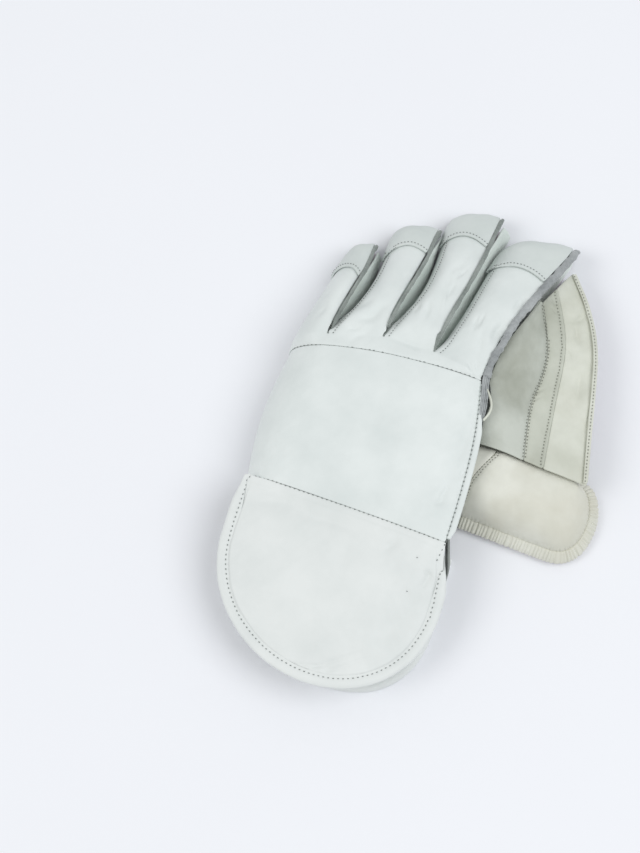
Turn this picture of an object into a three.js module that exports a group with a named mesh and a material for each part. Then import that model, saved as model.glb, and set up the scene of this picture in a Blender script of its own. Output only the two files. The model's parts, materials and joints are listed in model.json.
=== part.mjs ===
// Left-hand wicketkeeping glove, lying palm down with its four fingers towards +Y and its thumb towards +X.
// Millimetres, +Z up. The table is the plane z = 0.
// The glove is sewn from sheets. Each is a surface given by a function, cut to its outline and thickened.
// While it is laid out, x = 0, y = 0 is the middle of the wrist seam. The finished glove is centred.
import * as THREE from 'three';

// Walls and seams
const LEATHER = 1.6;            // a single layer of leather
const BACK_LEATHER = 2.0;       // lined leather over the knuckles and fingers
const FACING = 2.5;             // pimpled rubber sheet of the palm
const GUSSET_LEATHER = 1.4;
const LINING = 1.2;             // soft leather that shows in the palm windows
const GAP = 0.3;                // clearance between two sewn pieces
const SEAM_GAP = 0.5;           // clearance between two panels that are sewn edge to edge
const TOUCH = FACING + GAP;     // height at which a wall stands on the palm sheet

// Hand: from the wrist seam to the knuckle seam
const HAND_LENGTH = 103;
const HAND_WIDTH = 142;
const HAND_HEIGHT = 48;
const SEAM_FALL = 14;           // the knuckle seam slants back towards the little finger
const SEAM_BOW = 4;             // and bows towards the fingertips
const PAD_THICKNESS = 7;        // padding over the back of the hand
const PAD_EDGE = 3;
const SIDE_BULGE = 4;           // how far the soft outer side stands proud of its foot
const SIDE_TUCK = 1.2;          // the side wall ends this far under the edge of the back

// Cuff: two padded flaps with a round end
const CUFF_LENGTH = 106;
const CUFF_WIDTH = 138;
const CUFF_STRAIGHT = 40;       // straight sides before the round end
const CUFF_TOP = 41;            // height of the back flap at the wrist
const CUFF_END = 29;            // height of the back flap at its round end
const CUFF_CROWN = 7;           // how far its sides lie below its middle
const CUFF_PAD = 8;
const CUFF_LEAN = 8;            // its round end leans towards the thumb side
const CUFF_TUCK = 0.09;         // its thumb side is drawn in at the wrist by this share
const PALM_CUFF_LENGTH = 103;
const PALM_CUFF_WIDTH = 132;
const PALM_CUFF_PAD = 7;
const PALM_CUFF_LEAN = 12;
const PALM_CUFF_RAISE = 1.5;    // its edge is lifted by the binding under it
const BINDING = 4;              // rolled leather round a flap: how far it stands out
const BINDING_LIP = 3;          // and how far it reaches in over the flap
const FOLD_EASE = 1.3;          // room under that lip for the swell of the flap
const BINDING_END = 0.945;      // the back flap's binding stops before the wrist on the thumb side
const BAND_WIDTH = 9;           // strip across the wrist end of the palm flap
const CUFF_SWELL = 2;           // the back flap's padding stands this much above its rim
const CUFF_CREASE = 1.6;        // depth of the crease across it
const CREASE_ALONG = 0.17;      // and its place and width, shares of the flap's length
const CREASE_WIDTH = 0.05;

// Fingers
const FINGER_WIDTH = 34;        // width of a finger at its root, between two valleys
const FINGER_LENGTH = 115;      // the middle finger, from its root to its tip
const CROWN_RISE = 1.6;         // the back of a finger stands this much above its edges
const CAP_BULGE = 5.5;          // how far the seam of a fingertip cap arches towards the tip
const CAP_LAP = 5;              // the finger leather runs on under the cap
const CAP_TRIM = 0.4;           // the cap stops this far from the welt
const TIP_CORNER = 8;           // rounding of the outer corner of a fingertip
const WELT_WIDTH = 2.2;         // raised raw edges along the thumb side of a finger
const WELT_RISE = 2.2;
const INDEX_WELT_WIDTH = 4.6;   // the thick seam where the web joins the index finger
const INDEX_WELT_RISE = 2.6;
const INDEX_WELT_WAVE = 0.35;   // it is crumpled by this much
const INDEX_WELT_WAVES = 5;
const SIDE_SEAM_WIDTH = 4;      // flat lip along the thumb side of the back
const SIDE_SEAM_DROP = 0.9;
const LOOP_WIDTH = 1.2;         // loose fold of the side's leather beside that lip
const LOOP_HEIGHT = 2.4;
const LOOP_BOW = 4.2;           // how far it gapes
const LOOP_OUT = 1.7;           // how far its ends stand from the lip
const LOOP_DROP = 0.5;

// Thumb
const THUMB_BASE_X = 61;
const THUMB_LENGTH = 85;
const THUMB_WIDTH = 51;
const THUMB_CENTRE_Y = 51;
const THUMB_HEIGHT = 33;
const THUMB_ROUND = 19;         // length of the round end
const THUMB_DROOP = 2.5;        // its tip turns this much back towards the wrist
const GATHER_RADIUS = 2.5;      // rolled, gathered edge of the thumb
const GATHER_DEPTH = 0.7;
const GATHER_PITCH = 5.4;
const GATHER_START = 0.02;      // shares of the thumb's edge, from the wrist round the tip to the web
const GATHER_END = 0.72;

// Web between the index finger and the thumb
const WEB_HEIGHT = 44;          // height of the web where it leaves the index finger
const WEB_HEM = 3.2;            // folded edge along the web's free side
const WEB_HEM_THICKNESS = 1.4;
const WEB_PUFF_WIDTH = 16;      // a panel at least this wide puffs up fully

// Profiles along the glove. Heights are shares of HAND_HEIGHT, widths are shares of the width named.
// left and right: shares of HAND_WIDTH from the wrist's middle; crown: highest line; seam: height at the
// thumb side.
const HAND_ROWS = [
  { along: 0.0, left: -0.49, right: 0.435, crown: 0.87, seam: 0.79 },
  { along: 0.3, left: -0.525, right: 0.427, crown: 0.95, seam: 0.83 },
  { along: 0.65, left: -0.535, right: 0.405, crown: 0.99, seam: 0.87 },
  { along: 1.0, left: -0.512, right: 0.352, crown: 1.0, seam: 0.9 },
];
// Fingers, from the outer side of the hand to the thumb side, and their sections.
// rootX, rootY: middle of the finger between its valleys, shares of HAND_WIDTH and HAND_LENGTH.
// length: share of FINGER_LENGTH. rise: how much further its thumb-side valley lies, share of FINGER_WIDTH.
// lean: slope of its middle line. capAt: where its cap starts, share of its length, and capSkew: how much
// later on the thumb side. Of a section, along is a share of the finger's length, left and right are shares
// of FINGER_WIDTH from its middle line, edge and welt are the heights of its outer and its thumb side,
// shares of HAND_HEIGHT.
const FINGERS = [
  {
    name: 'little',
    rootX: -0.4437, rootY: 0.9515, length: 0.7304, rise: 0.162, lean: 0.085,
    capAt: 0.64, capSkew: -0.03,
    sections: [
      { along: 0.0, left: -0.31, right: 0.29, edge: 0, welt: 0.96 },
      { along: 0.09, left: -0.31, right: 0.28, edge: 0, welt: 0.94 },
      { along: 0.22, left: -0.28, right: 0.27, edge: 0, welt: 0.91 },
      { along: 0.38, left: -0.24, right: 0.28, edge: 0, welt: 0.85 },
      { along: 0.55, left: -0.2, right: 0.29, edge: 0, welt: 0.76 },
      { along: 0.72, left: -0.17, right: 0.29, edge: 0, welt: 0.62 },
      { along: 0.86, left: -0.13, right: 0.25, edge: 0, welt: 0.49 },
      { along: 0.95, left: -0.11, right: 0.22, edge: 0, welt: 0.41 },
    ],
  },
  {
    name: 'ring',
    rootX: -0.2507, rootY: 1.0485, length: 0.8522, rise: 0.247, lean: 0.1,
    capAt: 0.685, capSkew: 0.055,
    sections: [
      { along: 0.0, left: -0.5, right: 0.5, edge: 0.95, welt: 0.98 },
      { along: 0.09, left: -0.46, right: 0.47, edge: 0.78, welt: 1.01 },
      { along: 0.22, left: -0.36, right: 0.45, edge: 0.62, welt: 0.98 },
      { along: 0.38, left: -0.27, right: 0.46, edge: 0.48, welt: 0.91 },
      { along: 0.55, left: -0.25, right: 0.48, edge: 0.37, welt: 0.82 },
      { along: 0.72, left: -0.3, right: 0.48, edge: 0.26, welt: 0.69 },
      { along: 0.86, left: -0.35, right: 0.44, edge: 0.18, welt: 0.56 },
      { along: 0.95, left: -0.37, right: 0.42, edge: 0.14, welt: 0.46 },
    ],
  },
  {
    name: 'middle',
    rootX: -0.0113, rootY: 1.0971, length: 1, rise: 0.047, lean: 0.085,
    capAt: 0.72, capSkew: 0.03,
    sections: [
      { along: 0.0, left: -0.5, right: 0.49, edge: 0.98, welt: 0.98 },
      { along: 0.09, left: -0.45, right: 0.45, edge: 0.86, welt: 1.01 },
      { along: 0.22, left: -0.34, right: 0.45, edge: 0.7, welt: 0.97 },
      { along: 0.38, left: -0.24, right: 0.49, edge: 0.55, welt: 0.9 },
      { along: 0.55, left: -0.25, right: 0.52, edge: 0.42, welt: 0.81 },
      { along: 0.72, left: -0.33, right: 0.53, edge: 0.3, welt: 0.69 },
      { along: 0.86, left: -0.39, right: 0.51, edge: 0.2, welt: 0.55 },
      { along: 0.95, left: -0.4, right: 0.5, edge: 0.15, welt: 0.46 },
    ],
  },
  {
    name: 'index',
    rootX: 0.2289, rootY: 1.0777, length: 0.9739, rise: -0.135, lean: 0.22,
    capAt: 0.66, capSkew: 0.02,
    sections: [
      { along: 0.0, left: -0.5, right: 0.49, edge: 0.98, welt: 0.9 },
      { along: 0.09, left: -0.44, right: 0.44, edge: 0.88, welt: 0.93 },
      { along: 0.22, left: -0.45, right: 0.41, edge: 0.78, welt: 0.95 },
      { along: 0.38, left: -0.47, right: 0.4, edge: 0.68, welt: 0.92 },
      { along: 0.55, left: -0.52, right: 0.45, edge: 0.57, welt: 0.85 },
      { along: 0.72, left: -0.57, right: 0.53, edge: 0.45, welt: 0.73 },
      { along: 0.86, left: -0.57, right: 0.58, edge: 0.34, welt: 0.58 },
      { along: 0.95, left: -0.55, right: 0.61, edge: 0.25, welt: 0.49 },
    ],
  },
];
// How a fingertip folds down: heights are shares of those of its last section
const TIP_ROWS = [
  { along: 1.0, edge: 0.7, crown: 0.62, welt: 0.8 },
  { along: 1.025, edge: 0.4, crown: 0.3, welt: 0.5 },
  { along: 1.015, edge: 0, crown: 0, welt: 0 },
];
// Lines down the web, from the thumb to the index finger. x is a share of the thumb's length from the
// crotch, y a share of WEB_REACH from the thumb, z a share of WEB_HEIGHT.
const WEB_ROWS = {
  root: [
    { x: 0.053, y: -0.004, z: 0.75 }, { x: 0.010, y: 0.159, z: 0.864 }, { x: -0.033, y: 0.304, z: 0.943 },
    { x: -0.001, y: 0.478, z: 0.943 }, { x: 0.044, y: 0.58, z: 0.909 }, { x: 0.145, y: 0.761, z: 0.795 },
  ],
  seam_one: [
    { x: 0.409, y: -0.007, z: 0.727 }, { x: 0.324, y: 0.272, z: 0.636 }, { x: 0.341, y: 0.399, z: 0.614 },
    { x: 0.327, y: 0.536, z: 0.614 }, { x: 0.271, y: 0.63, z: 0.636 }, { x: 0.16, y: 0.768, z: 0.705 },
  ],
  seam_two: [
    { x: 0.562, y: -0.014, z: 0.716 }, { x: 0.487, y: 0.362, z: 0.591 }, { x: 0.466, y: 0.507, z: 0.568 },
    { x: 0.422, y: 0.63, z: 0.568 }, { x: 0.358, y: 0.725, z: 0.591 }, { x: 0.228, y: 0.87, z: 0.636 },
  ],
  free: [
    { x: 0.906, y: -0.014, z: 0.591 }, { x: 0.812, y: 0.261, z: 0.591 }, { x: 0.753, y: 0.438, z: 0.58 },
    { x: 0.673, y: 0.634, z: 0.545 }, { x: 0.541, y: 0.808, z: 0.5 }, { x: 0.311, y: 0.996, z: 0.477 },
  ],
};
const CROTCH_X = 57;            // where the web's lines are measured from
const WEB_FOOT_Y = 70;
const WEB_REACH = 138;          // from the web's foot to its top corner

// Soft folds and hollows in the leather. x is a share of HAND_WIDTH, y of HAND_LENGTH, turn is in degrees
// from +X, length and width are shares of HAND_WIDTH, depth of HAND_HEIGHT.
const FOLDS = [
  { x: -0.24, y: 1.16, turn: 50, length: 0.05, width: 0.035, depth: 0.031 },
  { x: 0.01, y: 1.13, turn: 175, length: 0.09, width: 0.035, depth: 0.033 },
  { x: 0.09, y: 1.48, turn: 110, length: 0.07, width: 0.028, depth: 0.025 },
  { x: 0.24, y: 1.35, turn: 95, length: 0.07, width: 0.035, depth: 0.029 },
  { x: 0.38, y: 1.55, turn: 95, length: 0.11, width: 0.042, depth: 0.037 },
  { x: 0.57, y: 1.27, turn: 135, length: 0.08, width: 0.049, depth: 0.042 },
  { x: 0.70, y: 1.59, turn: 170, length: 0.05, width: 0.035, depth: 0.033 },
  { x: 0.77, y: 1.27, turn: 70, length: 0.09, width: 0.042, depth: 0.033 },
  { x: 0.87, y: 0.98, turn: 55, length: 0.06, width: 0.035, depth: 0.025 },
  { x: -0.10, y: 1.40, turn: 165, length: 0.03, width: 0.028, depth: 0.021 },
];

// Shared mathematics
const clamp01 = (t) => Math.min(1, Math.max(0, t));
const mix = (a, b, t) => a + (b - a) * t;
const smooth = (t) => clamp01(t) * clamp01(t) * (3 - 2 * clamp01(t));
const middle = (a, b) => (a + b) / 2;
const vector = (x, y, z) => new THREE.Vector3(x, y, z);

function steps(count, from = 0, to = 1) {
  return Array.from({ length: count + 1 }, (_, i) => mix(from, to, i / count));
}

function body(positions, index) {
  const geometry = new THREE.BufferGeometry();
  const numbers = positions.flatMap((p) => p.toArray());
  geometry.setAttribute('position', new THREE.Float32BufferAttribute(numbers, 3));
  geometry.setIndex(index);
  geometry.computeVertexNormals();
  return geometry;
}

// Reads a named column of a table at a place along it, on a smooth curve through the rows.
function column(rows, name, along, key = 'along') {
  let i = 0;
  while (i < rows.length - 2 && along > rows[i + 1][key]) i += 1;
  const back = rows[Math.max(0, i - 1)];
  const [from, to] = [rows[i], rows[i + 1]];
  const after = rows[Math.min(rows.length - 1, i + 2)];
  const span = to[key] - from[key];
  const t = clamp01((along - from[key]) / span);
  const slopeIn = (to[name] - back[name]) / Math.max(to[key] - back[key], span) * span;
  const slopeOut = (after[name] - from[name]) / Math.max(after[key] - from[key], span) * span;
  const [t2, t3] = [t * t, t * t * t];
  return (2 * t3 - 3 * t2 + 1) * from[name] + (t3 - 2 * t2 + t) * slopeIn
    + (3 * t2 - 2 * t3) * to[name] + (t3 - t2) * slopeOut;
}

// Sheets: lists of corners and triangles. A sheet is open; thicken closes it into a wall.
class Sheet {
  constructor() {
    this.corners = [];
    this.faces = [];
    this.found = new Map();
  }

  corner(point, thickness) {
    const key = [point.x, point.y, point.z].map((v) => Math.round(v * 500)).join(',');
    if (!this.found.has(key)) {
      this.found.set(key, this.corners.length);
      this.corners.push({ point, thickness });
    }
    return this.found.get(key);
  }

  // A patch of rows by columns; surface(u, v) gives a point, and keep(u, v) says which cells are cloth.
  patch(surface, us, vs, thickness, keep = () => true) {
    const wall = typeof thickness === 'number' ? () => thickness : thickness;
    const grid = vs.map((v) => us.map((u) => this.corner(surface(u, v), wall(u, v))));
    for (let j = 0; j < vs.length - 1; j += 1) {
      for (let i = 0; i < us.length - 1; i += 1) {
        if (!keep((us[i] + us[i + 1]) / 2, (vs[j] + vs[j + 1]) / 2)) continue;
        const [a, b, c, d] = [grid[j][i], grid[j][i + 1], grid[j + 1][i + 1], grid[j + 1][i]];
        [[a, b, c], [a, c, d]].forEach((face) => {
          if (new Set(face).size === 3) this.faces.push(face);
        });
      }
    }
    return this;
  }

  normals() {
    const normals = this.corners.map(() => vector(0, 0, 0));
    this.faces.forEach((face) => {
      const [a, b, c] = face.map((i) => this.corners[i].point);
      const area = b.clone().sub(a).cross(c.clone().sub(a));
      face.forEach((i) => normals[i].add(area));
    });
    return normals.map((n) => n.normalize());
  }

  // The wall between the sheet, moved by lift along its normals, and its copy a thickness below. None of it
  // goes below floor.
  thicken(lift = 0, floor = 0) {
    const used = [...new Set(this.faces.flat())];
    const order = new Map(used.map((corner, i) => [corner, i]));
    const normals = this.normals();
    const place = (i, depth) => {
      const point = this.corners[i].point.clone().addScaledVector(normals[i], lift - depth);
      return point.setZ(Math.max(floor, point.z));
    };
    const positions = [
      ...used.map((i) => place(i, 0)),
      ...used.map((i) => place(i, this.corners[i].thickness)),
    ];
    const count = used.length;
    const index = [];
    const edges = new Map();
    this.faces.forEach((face) => {
      const [a, b, c] = face.map((i) => order.get(i));
      index.push(a, b, c, a + count, c + count, b + count);
      [[a, b], [b, c], [c, a]].forEach(([p, q]) => {
        if (!edges.delete(`${q},${p}`)) edges.set(`${p},${q}`, [p, q]);
      });
    });
    edges.forEach(([p, q]) => index.push(p, p + count, q + count, p, q + count, q));
    return body(positions, index);
  }
}

// Lets a point of the leather sink into the folds.
function fold(point) {
  FOLDS.forEach((row) => {
    const turn = THREE.MathUtils.degToRad(row.turn);
    const [dx, dy] = [point.x / HAND_WIDTH - row.x, point.y / HAND_WIDTH - row.y * HAND_LENGTH / HAND_WIDTH];
    const along = (dx * Math.cos(turn) + dy * Math.sin(turn)) / row.length;
    const across = (dy * Math.cos(turn) - dx * Math.sin(turn)) / row.width;
    point.z -= row.depth * HAND_HEIGHT * Math.exp(-along * along - across * across);
  });
  return point;
}

// A bar of constant kind of section along a path. at(t) gives its place, side and up; section(t) its corners.
function bar(at, section, places) {
  const positions = [];
  const index = [];
  const sides = section(0).length;
  places.forEach((t) => {
    const { place, side, up } = at(t);
    section(t).forEach(([across, high]) => {
      positions.push(place.clone().addScaledVector(side, across).addScaledVector(up, high));
    });
  });
  for (let j = 0; j < places.length - 1; j += 1) {
    for (let i = 0; i < sides; i += 1) {
      const next = (i + 1) % sides;
      const [a, b] = [j * sides + i, j * sides + next];
      index.push(a, b, b + sides, a, b + sides, a + sides);
    }
  }
  const last = (places.length - 1) * sides;
  const pivot = sides - 1;
  for (let i = 0; i < sides - 2; i += 1) {
    index.push(pivot, i + 1, i, last + pivot, last + i, last + i + 1);
  }
  return body(positions, index);
}

// A bar's frame on a curve: it runs along the curve, its side is level and its up is square to both.
function frameOn(curve) {
  return (t) => {
    const step = 0.002;
    const ahead = curve(Math.min(1, t + step)).clone().sub(curve(Math.max(0, t - step))).normalize();
    const side = ahead.clone().cross(vector(0, 0, 1)).normalize();
    return { place: curve(t), side, up: side.clone().cross(ahead).normalize() };
  };
}

// Corners of a rounded strip, width by height, with its middle at across and high.
function strip(width, height, across = 0, high = 0) {
  const [w, h] = [width / 2, height / 2];
  const cut = Math.min(w, h) * 0.55;
  return [
    [-w, -h + cut], [-w, h - cut], [-w + cut, h], [w - cut, h],
    [w, h - cut], [w, -h + cut], [w - cut, -h], [-w + cut, -h],
  ].map(([a, b]) => [a + across, b + high]);
}

// Corners of leather folded over the edge of a flap: from its lip on top, round the outside to the underside.
function wrap(out, thickness, lip) {
  const [top, under, clear] = [thickness / 2 + FOLD_EASE, -thickness / 2 - GAP, GAP * 2];
  return [
    [-lip, top], [-lip, top + LEATHER * 0.8], [-lip * 0.4, top + LEATHER * 1.25], [out * 0.45, top + LEATHER],
    [out, top * 0.3], [out * 0.8, under - LEATHER * 0.4], [clear, under - LEATHER * 0.7], [clear, top],
  ];
}

function ring(radius, sides = 8) {
  return steps(sides).slice(0, sides).map((t) => [
    -radius * Math.cos(2 * Math.PI * t), radius * Math.sin(2 * Math.PI * t),
  ]);
}

// Back of the hand. a runs from the foot of the outer side over the crown to the thumb side, v from the
// wrist to the knuckles.
const KNEE = 0.3;               // share of the width taken by the rounded outer side
const SIDE_SETBACK = 2;         // the side wall stands this far inside the foot of the thumb

function handX(a, v) {
  return HAND_WIDTH * mix(column(HAND_ROWS, 'left', v), column(HAND_ROWS, 'right', v), a);
}

function seamY(a) {
  return HAND_LENGTH + mix(-SEAM_FALL, SEAM_FALL / 4, a) + SEAM_BOW * Math.sin(Math.PI * a);
}

function handHeight(a, v) {
  const crown = HAND_HEIGHT * column(HAND_ROWS, 'crown', v);
  const seam = HAND_HEIGHT * column(HAND_ROWS, 'seam', v);
  if (a < KNEE) return mix(TOUCH, crown, (1 - (1 - a / KNEE) ** 2.6) ** (1 / 2.6));
  return mix(crown, seam, ((a - KNEE) / (1 - KNEE)) ** 3.5);
}

function handBack(a, v) {
  const height = handHeight(a, v);
  const share = height / HAND_HEIGHT;
  const bulge = a < KNEE ? SIDE_BULGE * 4 * share * (1 - share) : 0;
  return vector(handX(a, v) - bulge, seamY(a) * v, height);
}

// Fingers. Places along a finger are counted in rows of its table, with the tip's rows after them.
const FIRST_TIP_ROW = FINGERS[0].sections.length;
const LAST_ROW = FIRST_TIP_ROW + TIP_ROWS.length - 1;
const EDGE_SIDE = -0.5;
const WELT_SIDE = 0.5;

FINGERS.forEach((finger) => {
  finger.x = finger.rootX * HAND_WIDTH;
  finger.y = finger.rootY * HAND_LENGTH;
  finger.reach = finger.length * FINGER_LENGTH;
  const last = finger.sections[FIRST_TIP_ROW - 1];
  const low = TOUCH / HAND_HEIGHT;
  const tip = TIP_ROWS.map((row) => ({
    ...last,
    along: row.along,
    edge: mix(low, Math.max(low, last.edge), row.edge),
    welt: mix(low, last.welt, row.welt),
    crownShare: row.crown,
  }));
  finger.rows = [...finger.sections, ...tip].map((row, i) => ({ crownShare: 1, ...row, row: i }));
});

const isOuter = (finger) => finger === FINGERS[0];
const isIndex = (finger) => finger === FINGERS[3];
const nextTo = (finger) => FINGERS[FINGERS.indexOf(finger) + 1];
const before = (finger) => FINGERS[FINGERS.indexOf(finger) - 1];
const fingerColumn = (finger, name, row) => column(finger.rows, name, row, 'row');

// The row at which a share of the finger's length is reached.
function rowAt(finger, along) {
  const { rows } = finger;
  let i = 0;
  while (i < FIRST_TIP_ROW - 1 && along > rows[i + 1].along) i += 1;
  return i + (along - rows[i].along) / (rows[i + 1].along - rows[i].along);
}

function fingerEdge(finger, row, side) {
  const along = fingerColumn(finger, 'along', row);
  const [across, high] = side === EDGE_SIDE ? ['left', 'edge'] : ['right', 'welt'];
  const ahead = along * finger.reach;
  return vector(
    finger.x + ahead * finger.lean + fingerColumn(finger, across, row) * FINGER_WIDTH,
    finger.y + ahead + finger.rise * FINGER_WIDTH * side * (1 - along),
    Math.max(TOUCH, fingerColumn(finger, high, row) * HAND_HEIGHT),
  );
}

// Valley between a finger and the next one: both of them start there.
function valley(finger) {
  const edge = fingerEdge(finger, 0, WELT_SIDE);
  return nextTo(finger) ? edge.lerp(fingerEdge(nextTo(finger), 0, EDGE_SIDE), 0.5) : edge;
}

function leftEdge(finger, row) {
  return row <= 0 && before(finger) ? valley(before(finger)) : fingerEdge(finger, row, EDGE_SIDE);
}

function weltEdge(finger, row) {
  return row <= 0 ? valley(finger) : fingerEdge(finger, row, WELT_SIDE);
}

// Back of a finger: a runs from its outer edge to its welt.
function fingerBack(finger, a, row) {
  const [left, right] = [leftEdge(finger, row), weltEdge(finger, row)];
  const point = left.clone().lerp(right, a);
  const high = Math.max(left.z, right.z) + CROWN_RISE * smooth(row / 2);
  const crown = mix(TOUCH, high, fingerColumn(finger, 'crownShare', row));
  const shoulder = isOuter(finger) ? 0.66 : 0.56;
  const share = a < shoulder ? 1 - a / shoulder : (a - shoulder) / (1 - shoulder);
  point.z = a < shoulder
    ? mix(left.z, Math.max(crown, left.z), Math.sqrt(1 - share * share))
    : mix(right.z, Math.max(crown, right.z), 1 - share * share);
  if (isOuter(finger) && a < shoulder) {
    const rise = point.z / HAND_HEIGHT;
    point.x -= SIDE_BULGE * 4 * rise * (1 - rise) * (1 - a / shoulder);
  }
  point.y -= smooth((row - FIRST_TIP_ROW + 2.5) / 2.5) * TIP_CORNER * (1 - Math.min(1, a / 0.5)) ** 2;
  return row > FIRST_TIP_ROW ? point : fold(point);
}

// Share of the hand's width at which each finger meets the knuckle seam.
function seamShare(x) {
  const { left, right } = HAND_ROWS[HAND_ROWS.length - 1];
  return (x / HAND_WIDTH - left) / (right - left);
}

// The leather between the knuckle seam and the valleys of one finger.
function knuckle(finger, a, k) {
  const from = before(finger) ? seamShare(valley(before(finger)).x) : 0;
  const to = isIndex(finger) ? 1 : seamShare(valley(finger).x);
  const start = handBack(mix(from, to, a), 1);
  start.y += SEAM_GAP;
  return start.lerp(fingerBack(finger, a, 0), k);
}

const ACROSS = [0, 0.07, 0.2, 0.36, 0.54, 0.72, 0.88, 1];
const OUTER_ACROSS = [0, 0.05, 0.14, 0.28, 0.45, 0.65, 0.84, 1];
const acrossOf = (finger) => (isOuter(finger) ? OUTER_ACROSS : ACROSS);

function capArc(finger, a, lap = 0) {
  const bow = CAP_BULGE * Math.sin(Math.PI * clamp01(a)) + lap;
  return rowAt(finger, finger.capAt + finger.capSkew * a + bow / finger.reach);
}

// One piece of leather covers the knuckles and the backs of the four fingers.
function fingerLeather() {
  const sheet = new Sheet();
  FINGERS.forEach((finger) => {
    const columns = acrossOf(finger);
    sheet.patch((a, k) => knuckle(finger, a, k), columns, [0, 0.4, 0.75, 1], BACK_LEATHER);
    const back = (a, s) => fingerBack(finger, a, s * capArc(finger, a, CAP_LAP));
    sheet.patch(back, columns, [0, 0.08, 0.2, 0.36, 0.55, 0.77, 1], BACK_LEATHER);
  });
  return sheet.thicken();
}

// A cap is sewn over the end of a finger and folds down over the tip.
function tipCap(finger) {
  const sheet = new Sheet();
  const trim = 1 - CAP_TRIM / FINGER_WIDTH;
  const columns = acrossOf(finger).map((a) => a * trim);
  const over = (a, s) => fingerBack(finger, a, mix(capArc(finger, a), LAST_ROW, s));
  sheet.patch(over, columns, [0, 0.15, 0.3, 0.44, 0.57, 0.69, 0.8, 0.9, 1], LEATHER);
  return sheet.thicken(LEATHER + GAP, TOUCH);
}

// The row of a finger at a given y.
const rowAtY = (finger, y) => rowAt(finger, clamp01((y - finger.y) / finger.reach));

// The palm side of a finger is wider than its back: its inner edge runs under the next finger's outer edge.
const SLIT_OPEN = 16;           // length over which a slit opens
const SLIT_START = [0, 0.5, 1]; // rows of that length
const SLIT_ROWS = 5;            // rows from there to the fingertip
const TIP_ROUND = 7;            // rounding of the palm sheet's fingertips
const SLIT_SET = 6;             // the slits start this far past the foot of the walls between the fingers
const PALM_SLIT = 1.5;          // gap between the fingers of the palm sheet
const PALM_REACH = 0.8;         // the palm sheet stands out past the walls
const TIP_TAPER = 0.12;         // share by which its fingers narrow towards their tips

function palmLeft(finger, y) {
  return fingerEdge(finger, rowAtY(finger, y), EDGE_SIDE).x - (isOuter(finger) ? 0 : PALM_REACH);
}

function palmRight(finger, y) {
  if (nextTo(finger)) return palmLeft(nextTo(finger), y) - PALM_SLIT;
  return fingerEdge(finger, rowAtY(finger, y), WELT_SIDE).x + INDEX_WELT_WIDTH + PALM_REACH;
}

const TIP_LIP = 4;              // the palm sheet reaches past the fingertip
const tipY = (finger) => finger.y + finger.reach + TIP_LIP;

// Wall of leather between two fingers. q runs from the tip of the next finger (1) to the bend in the valley
// and on to the tip of this one (-1), h from the palm sheet up to the back.
const BEND = 0.01;              // the bend lies between q = BEND and q = -BEND
const GUSSET_END = 0.985;
const GUSSET_SAG = 2.2;         // how far the wall hangs in under the finger
const GUSSET_DIP = 1.5;         // how much its upper edge drops at the fingertip
const GUSSET_IN = 0.55;         // its upper edge lies this far outside the finger's edge
const GUSSET_UNDER = 0.5;       // and this far under the edge of the next finger
const GUSSET_BEND = 1.6;        // width of its bend in the valley
const CROTCH_SET = 4;           // the bend starts this far in front of the valley of the backs
const CROTCH_DROP = 5;          // and this far below them
const CROTCH_SLOPE = 10;        // how far the bend leans towards the tips as it goes down
function gusset(finger) {
  const next = nextTo(finger);
  const sheet = new Sheet();
  const wall = (q, h) => {
    const here = q < 0;
    const share = Math.abs(q) - BEND;
    const row = share * rowAt(here ? finger : next, GUSSET_END);
    const dip = GUSSET_DIP * smooth((share - 0.75) * 4);
    const under = here
      ? vector(GUSSET_IN, 0, -WELT_RISE - GAP * 2 - dip)
      : vector(GAP, 0, -GAP - GUSSET_UNDER);
    const atValley = vector(GUSSET_IN, CROTCH_SET, -BACK_LEATHER - CROTCH_DROP);
    atValley.x += here ? -GUSSET_BEND / 2 : GUSSET_BEND / 2;
    const top = here ? fingerBack(finger, 1, row) : fingerBack(next, 0, row);
    top.add(under.lerp(atValley, 1 - smooth(share * 3)));
    const foot = top.clone();
    foot.y += CROTCH_SLOPE * (1 - smooth(share * 3));
    foot.z = TOUCH;
    const y = foot.y;
    foot.x = here ? palmRight(finger, y) - GAP : palmLeft(next, y) + GAP;
    const point = foot.lerp(top, h);
    point.x -= here ? GUSSET_SAG * Math.sin(Math.PI * h) * share * (1 - smooth(share * 5 - 4)) : 0;
    return point;
  };
  const shares = [0, 0.06, 0.15, 0.29, 0.45, 0.63, 0.81, 1].map((share) => share + BEND);
  const qs = [...shares.slice().reverse(), ...shares.map((share) => -share)];
  sheet.patch(wall, qs, [0, 0.33, 0.67, 1], GUSSET_LEATHER);
  return sheet.thicken(0, TOUCH);
}

// Thumb side of the index finger, under the thick welt.
const INDEX_WALL_OUT = 1.2;     // its upper edge lies this far outside the finger's edge
const INDEX_WALL_DROP = 0.9;    // and this far below the welt
const INDEX_WALL_DIP = 2;       // and this much further at the fingertip
const INDEX_WALL_FOOT = 2.8;    // its foot stands this far in on the palm sheet

function indexWall() {
  const finger = FINGERS[3];
  const sheet = new Sheet();
  const wall = (q, h) => {
    const row = Math.min(1, q) * rowAt(finger, GUSSET_END);
    const drop = INDEX_WELT_RISE + INDEX_WALL_DROP + INDEX_WALL_DIP * smooth((q - 0.75) * 4);
    const top = fingerBack(finger, 1, row).add(vector(INDEX_WALL_OUT, 0, -drop));
    const foot = vector(palmRight(finger, top.y) - INDEX_WALL_FOOT, top.y, TOUCH);
    if (q > 1) foot.copy(fingerBack(finger, 1, LAST_ROW).add(vector(INDEX_WALL_OUT / 2, -PALM_REACH, 0)));
    return foot.lerp(top, h);
  };
  const places = [1.1, 1, 0.86, 0.7, 0.54, 0.38, 0.22, 0.1, 0.02];
  sheet.patch(wall, places, [0, 0.33, 0.67, 1], GUSSET_LEATHER);
  return sheet.thicken(0, TOUCH);
}

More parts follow.
